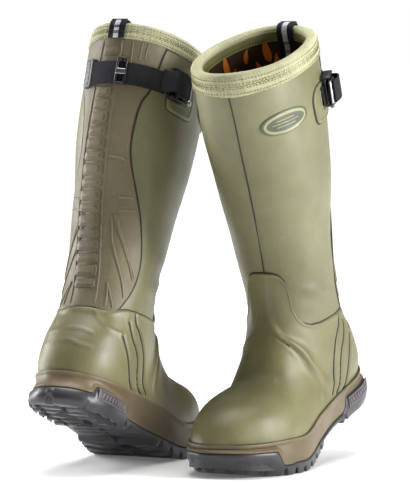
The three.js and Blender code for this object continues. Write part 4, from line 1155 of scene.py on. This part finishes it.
    # ---- badge: a plain oval plate, pale rim, dark field with three bars
    b = Bag()
    el = ellipse(31, 12.2, 96, 2.1)
    b.add(*patch(1.575, 55.5, el * [1.0, 1.0], 1.05, low=-.3, round_=.8, rings=(.85, .7, .5, .3, .15)))
    make("badge_plate", side, b, BADGE_DARK, replaces=("badge",), smooth_angle=50)
    b = Bag()

    def oval(a_, c_, base, hw, hh, bag):
        e_ = ellipse(a_, c_, 120, 2.1)
        q = on(1.575, 55.5, e_[:, 0], e_[:, 1], np.full(120, base))
        w2 = on(1.575, 55.5, e_[:, 0], e_[:, 1], np.full(120, base + 1.0))
        bag.add(*sweep(q, w2 - q, rounded(hw, hh, min(hw, hh) * .9, 3), closed=True))

    oval(26.0, 9.2, 1.05, 1.5, .42, b)
    for y, L in ((3.3, 12), (0, 17), (-3.3, 12)):
        x = np.linspace(-L, L, 24)
        q = on(1.575, 55.5, x, 0 * x + y, np.full(24, 1.1))
        w2 = on(1.575, 55.5, x, 0 * x + y, np.full(24, 2.1))
        b.add(*sweep(q, w2 - q, rounded(.5, .35, .3, 3)))
    make("badge_rim", side, b, BADGE_PALE, smooth_angle=50)

    # ---- midsole band
    ztop = mid_top(SY)
    Tg, Dg = np.meshgrid(np.linspace(8, 19.95, 700), np.arange(0, 360, 1.0), indexing="ij")
    C = skin(Tg, Dg, np.full(Tg.shape, 1.3)).reshape(-1, 3)
    C = C[(np.abs(C[:, 2] - mid_top(C[:, 1])) < 1.1)]
    dsh = np.full(N_SOLE, np.nan)
    tang = np.stack([INWARD[:, 1], -INWARD[:, 0]], -1)
    for i in range(N_SOLE):
        r_ = C[:, :2] - SOLE[i]
        al, ac = r_ @ INWARD[i], r_ @ tang[i]
        ok = (np.abs(ac) < 2.2) & (al > -14) & (al < 28)
        if ok.any():
            dsh[i] = al[ok].min()
    bad = np.isnan(dsh)
    ii = np.arange(N_SOLE)
    dsh[bad] = np.interp(ii[bad], ii[~bad], dsh[~bad])
    for _ in range(3):
        e_ = np.concatenate([dsh[-4:], dsh, dsh[:4]])
        dsh = np.convolve(e_, np.ones(9) / 9, "same")[4:-4]
    ti = np.minimum(dsh - 2.3, 4.2)
    lo_in = np.interp(SY, [-10, 60, 90, 140, 200, 312], [.2, .4, 1.2, 1.0, .3, .3])
    wall = ztop - RIM
    rowsd = []

    def add_row(dv, zv):
        rowsd.append(sole_point(dv, zv))

    add_row(dsh + 2.6, ztop - 3.5)
    add_row(dsh + 1.2, ztop - .9)
    add_row(dsh - .3, ztop - .75)
    add_row(dsh - .8, ztop - .25)
    add_row(ti + .75, ztop + .15)
    add_row(ti + .25, ztop - .1)
    add_row(ti, ztop - .7)
    add_row(ti - .1, ztop - 1.7)
    add_row(ti + .05, ztop - 2.9)
    add_row(ti + .5, ztop - 3.6)
    heelband = 1 - smooth(95, 150, SY)
    for f in (0.0, .12, .26, .42, .58, .74, .88, 1.0):
        zz_ = (ztop - 4.2) * (1 - f) + (RIM + 1.6) * f
        base_in = (ti + .75) * (1 - f) + lo_in * f
        hollow = 1.1 * np.sin(np.pi * f) * heelband - .9 * np.sin(np.pi * f) * (1 - heelband)
        add_row(base_in + hollow * np.clip(wall / 14, 0, 1), zz_)
    add_row(lo_in - .15, RIM + 1.1)
    add_row(lo_in + .25, RIM + .55)
    add_row(lo_in * 0 + 3.0, RIM + .35)
    add_row(lo_in * 0 + 3.2, np.maximum(RIM - 4, 6.9))
    add_row(lo_in * 0 + 6.5, np.maximum(RIM - 4, 6.9))
    G = np.stack(rowsd)
    st = np.stack([np.broadcast_to(np.arange(N_SOLE) * 1.2, G.shape[:2]), G[..., 2], 0 * G[..., 2]], -1)
    b = Bag()
    b.add(G, grid_quads(G.shape[0], N_SOLE, wrap_c=True, wrap_r=True), [], st)
    # a dark joint line where the shell meets the midsole, partly painted shade
    q = sole_point(dsh - .55, ztop + .05)
    welt = Bag().add(*sweep(q, np.tile([[0, 0, 1.0]], (N_SOLE, 1)), rounded(.45, .45, .42), closed=True))
    make("welt_line", side, welt, SEAM_AND_SHADE, mode="foot", bend=True, smooth_angle=60)
    make("midsole_band", side, b, MIDSOLE, mode="foot", bend=True, replaces=("midsole_fore", "midsole_rear"), smooth_angle=60)

    # ---- outsole
    rows_ = []
    heelish = 1 - smooth(30, 95, SY)
    flare = -2.6 * heelish - .3 * smooth(235, 262, SY) - .2
    toe = smooth(238, 285, SY)
    spring = SPRING(SY)

    def out_row(dv, zv):
        rows_.append(sole_point(np.broadcast_to(dv, SX.shape), zv))

    # inside floor and rim
    for f in (.9, .5, .2):
        xy = (SOLE + INWARD * 3.0) * (1 - f) + CENTRE * f
        rows_.append(np.concatenate([xy, (6.3 + spring * .6)[:, None]], 1))
    out_row(2.9, np.maximum(6.3 + spring * .6, 6.4))
    out_row(2.8, RIM - 1.2)
    out_row(2.1, RIM - .1)
    out_row(1.3, RIM + .12)
    out_row(.45, RIM - .2)
    out_row(.1 + flare * .1, RIM - .9)
    zb = tread(SX + INWARD[:, 0] * 1.5, SY + INWARD[:, 1] * 1.5, np.zeros(N_SOLE) + 1.5) + spring
    cuts = zb
    for f, fl in ((.12, .35), (.3, .7), (.5, .95), (.7, 1.0), (.85, .75)):
        out_row(flare * fl + toe * 8.5 * f ** 2.2, (RIM - .9) * (1 - f) + (cuts + 2.4 + toe * 1.2) * f)
    out_row(flare * .35 + .2 + toe * 8.6, cuts + 1.5 + toe * .6)
    out_row(.9 + toe * 9.0, cuts + .55 + toe * .4)
    out_row(2.0 + toe * 9.4, cuts + .05 + toe * .15)
    # underside, fanning in to the middle line
    for inset_ in np.concatenate([np.arange(3.0, 26, 1.0)]):
        lim = np.linalg.norm(CENTRE - SOLE, axis=1)
        f = np.clip(inset_ / (lim + 1e-6), 0, .97)
        ins = inset_ + toe * 9.0 * (1 - (inset_ - 3) / 23)
        if inset_ <= 6:
            xy = SOLE + INWARD * ins[:, None]
            real = ins
        else:
            f6 = np.clip((ins - 6) / np.maximum(lim - 6, 1), 0, .96)
            xy = (SOLE + INWARD * 6) * (1 - f6)[:, None] + CENTRE * f6[:, None]
            real = 6 + f6 * (lim - 6)
        zc = tread(xy[:, 0], xy[:, 1], real) + SPRING(xy[:, 1])
        rows_.append(np.concatenate([xy, zc[:, None]], 1))
    for f6 in (.985,):
        xy = (SOLE + INWARD * 6) * (1 - f6) + CENTRE * f6
        zc = tread(xy[:, 0], xy[:, 1], np.full(N_SOLE, 40.0)) + SPRING(xy[:, 1])
        rows_.append(np.concatenate([xy, zc[:, None]], 1))
    G = np.stack(rows_)
    R_ = G.shape[0]
    b = Bag()
    st = np.stack([np.broadcast_to(np.arange(N_SOLE) * 1.2, G.shape[:2]), G[..., 2], 0 * G[..., 2]], -1)
    j = np.arange(N_SOLE)
    b.add(G, grid_quads(R_, N_SOLE, wrap_c=True), [list(j), list(((R_ - 1) * N_SOLE + j)[::-1])], st)
    make("outsole", side, b, OUTSOLE, mode="foot", bend=True, replaces=("outsole_fore", "outsole_rear"), smooth_angle=42)

    # ---- heel side plate: a sunk window with slanted bars
    sel = np.nonzero((SX > 0) & (SY > 15) & (SY < 70))[0]
    sel = sel[np.argsort(SY[sel])]
    path_xy = SOLE[sel]
    nin = INWARD[sel]
    fl = (-2.6 * (1 - smooth(30, 95, path_xy[:, 1])) - .2)

    def plate_pts(yv, z, out_):
        k = np.interp(yv, path_xy[:, 1], np.arange(len(sel)))
        k0 = np.clip(np.floor(k).astype(int), 0, len(sel) - 2)
        f = (k - k0)[:, None]
        q = path_xy[k0] * (1 - f) + path_xy[k0 + 1] * f
        nn = unit(nin[k0] * (1 - f) + nin[k0 + 1] * f)
        fo = np.interp(yv, path_xy[:, 1], fl)
        return np.concatenate([q + nn * (fo * .9 - out_)[:, None], np.broadcast_to(z, yv.shape)[:, None]], 1), np.concatenate([-nn, 0 * yv[:, None]], 1)

    b = Bag()
    yv = np.linspace(17, 68, 60)
    zr = np.array([13.2, 13.5, 14.5, 18, 21.5, 22.4, 22.7])
    oh = np.array([-.6, .35, .55, .6, .55, .35, -.6])
    top = np.stack([plate_pts(yv, z, np.full(60, o0))[0] for z, o0 in zip(zr, oh)])
    bot = np.stack([plate_pts(yv, z, np.full(60, -1.2))[0] for z in zr])
    b.add(*slab(top, bot))
    make("heel_window", side, b, PLATE_DARK, mode="rear", replaces=("heel_plate",), smooth_angle=50)
    b = Bag()
    for y0 in np.arange(21.5, 64, 5.2):
        yy = np.linspace(y0, y0 + 2.6, 6)
        z_ = np.linspace(14.9, 21.2, 6)
        pts_ = np.concatenate([plate_pts(yy[i:i + 1], z_[i], np.array([.55]))[0] for i in range(6)])
        nn = np.concatenate([plate_pts(yy[i:i + 1], z_[i], np.array([.55]))[1] for i in range(6)])
        b.add(*sweep(pts_, nn, rounded(.95, .45, .35)))
    frame_path = []
    for y0, z0 in spline(rrect(51.5, 9.8, 2.2, 4) + [42.5, 18.0], 120, closed=True):
        frame_path.append((y0, z0))
    fp = np.array(frame_path)
    pts_, nn = zip(*[plate_pts(fp[i:i + 1, 0], fp[i, 1], np.array([.3])) for i in range(len(fp))])
    b.add(*sweep(np.concatenate(pts_), np.concatenate(nn), rounded(.7, .6, .5), closed=True))
    make("heel_window_bars", side, b, PLATE_BAR, mode="rear", smooth_angle=50)

    # carried-over inner pieces
    for n, mt in (("footbed_fore", FOOTBED), ("footbed_rear", FOOTBED), ("shank", STEEL), ("insole_board", BOARD)):
        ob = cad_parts[side + "_" + n]
        ob.data.materials.clear()
        ob.data.materials.append(mt)


for s in ("right", "left"):
    build(s)

# ---------------------------------------------------------------- floor, backdrop, light, camera
def stage_material():
    m = Mat("studio_white", rough=.9, spec=.0)
    c = m.mix(m.fit(m.noise(1.5, 2), .3, .7), (.92, .92, .92, 1), (.94, .94, .94, 1))
    far = m.node("ShaderNodeVectorMath", Vector=m.xyz)
    far.operation = "LENGTH"
    m.b.inputs["Emission Color"].default_value = (1, 1, 1, 1)
    m.put(m.b.inputs["Emission Strength"], m.fit(far.outputs["Value"], .38, 2.2, .10, 1.05))
    return m.done(c)


WHITE = stage_material()
me = bpy.data.meshes.new("studio_floor")
ring = [(math.cos(a) * 60, math.sin(a) * 60, 0.0) for a in np.linspace(0, 2 * math.pi, 65)[:-1]]
me.from_pydata(ring, [], [tuple(range(64))])
me.materials.append(WHITE)
floor = bpy.data.objects.new("studio_floor", me)
bpy.context.scene.collection.objects.link(floor)

world = bpy.data.worlds.new("studio")
bpy.context.scene.world = world
world.use_nodes = True
wt = world.node_tree
bg = wt.nodes["Background"]
sky = wt.nodes.new("ShaderNodeTexCoord").outputs["Generated"]
split = wt.nodes.new("ShaderNodeSeparateXYZ")
wt.links.new(sky, split.inputs[0])
level = wt.nodes.new("ShaderNodeMapRange")
for k, v in zip(("From Min", "From Max", "To Min", "To Max"), (.016, .07, 1.0, .10)):
    level.inputs[k].default_value = v
wt.links.new(split.outputs[2], level.inputs["Value"])
bg.inputs[0].default_value = (1, 1, 1, 1)
wt.links.new(level.outputs[0], bg.inputs[1])


def softbox(name, loc, aim, size, power, color=(1, 1, 1)):
    l = bpy.data.lights.new(name, "AREA")
    l.shape = "RECTANGLE"
    l.size, l.size_y = size
    l.energy = power
    l.color = color
    o = bpy.data.objects.new(name, l)
    bpy.context.scene.collection.objects.link(o)
    o.location = loc
    o.rotation_euler = (Vector(aim) - Vector(loc)).to_track_quat("-Z", "Y").to_euler()
    return o


softbox("key_right", (2.2, -.62, .85), (0.05, 0, .22), (.6, 1.5), 84)
softbox("key_left", (-1.95, .85, .75), (-.05, 0, .22), (.7, 1.5), 58)
softbox("top", (0, .3, 2.3), (0, .12, .2), (1.4, 1.4), 60)

target = Vector((.001419, -.016228, .2228))
e = math.radians(3.535)
cam = bpy.data.cameras.new("camera")
cam.sensor_fit = "AUTO"
cam.sensor_width = 36
cam.lens = 3379 / 500 * 36
cam.clip_start, cam.clip_end = .1, 60
camera = bpy.data.objects.new("camera", cam)
bpy.context.scene.collection.objects.link(camera)
camera.location = target + 3.5085 * Vector((0, -math.cos(e), math.sin(e)))
camera.rotation_euler = (target - camera.location).to_track_quat("-Z", "Y").to_euler()
bpy.context.scene.camera = camera
bpy.context.scene.view_settings.view_transform = "Standard"
bpy.context.scene.view_settings.look = "None"
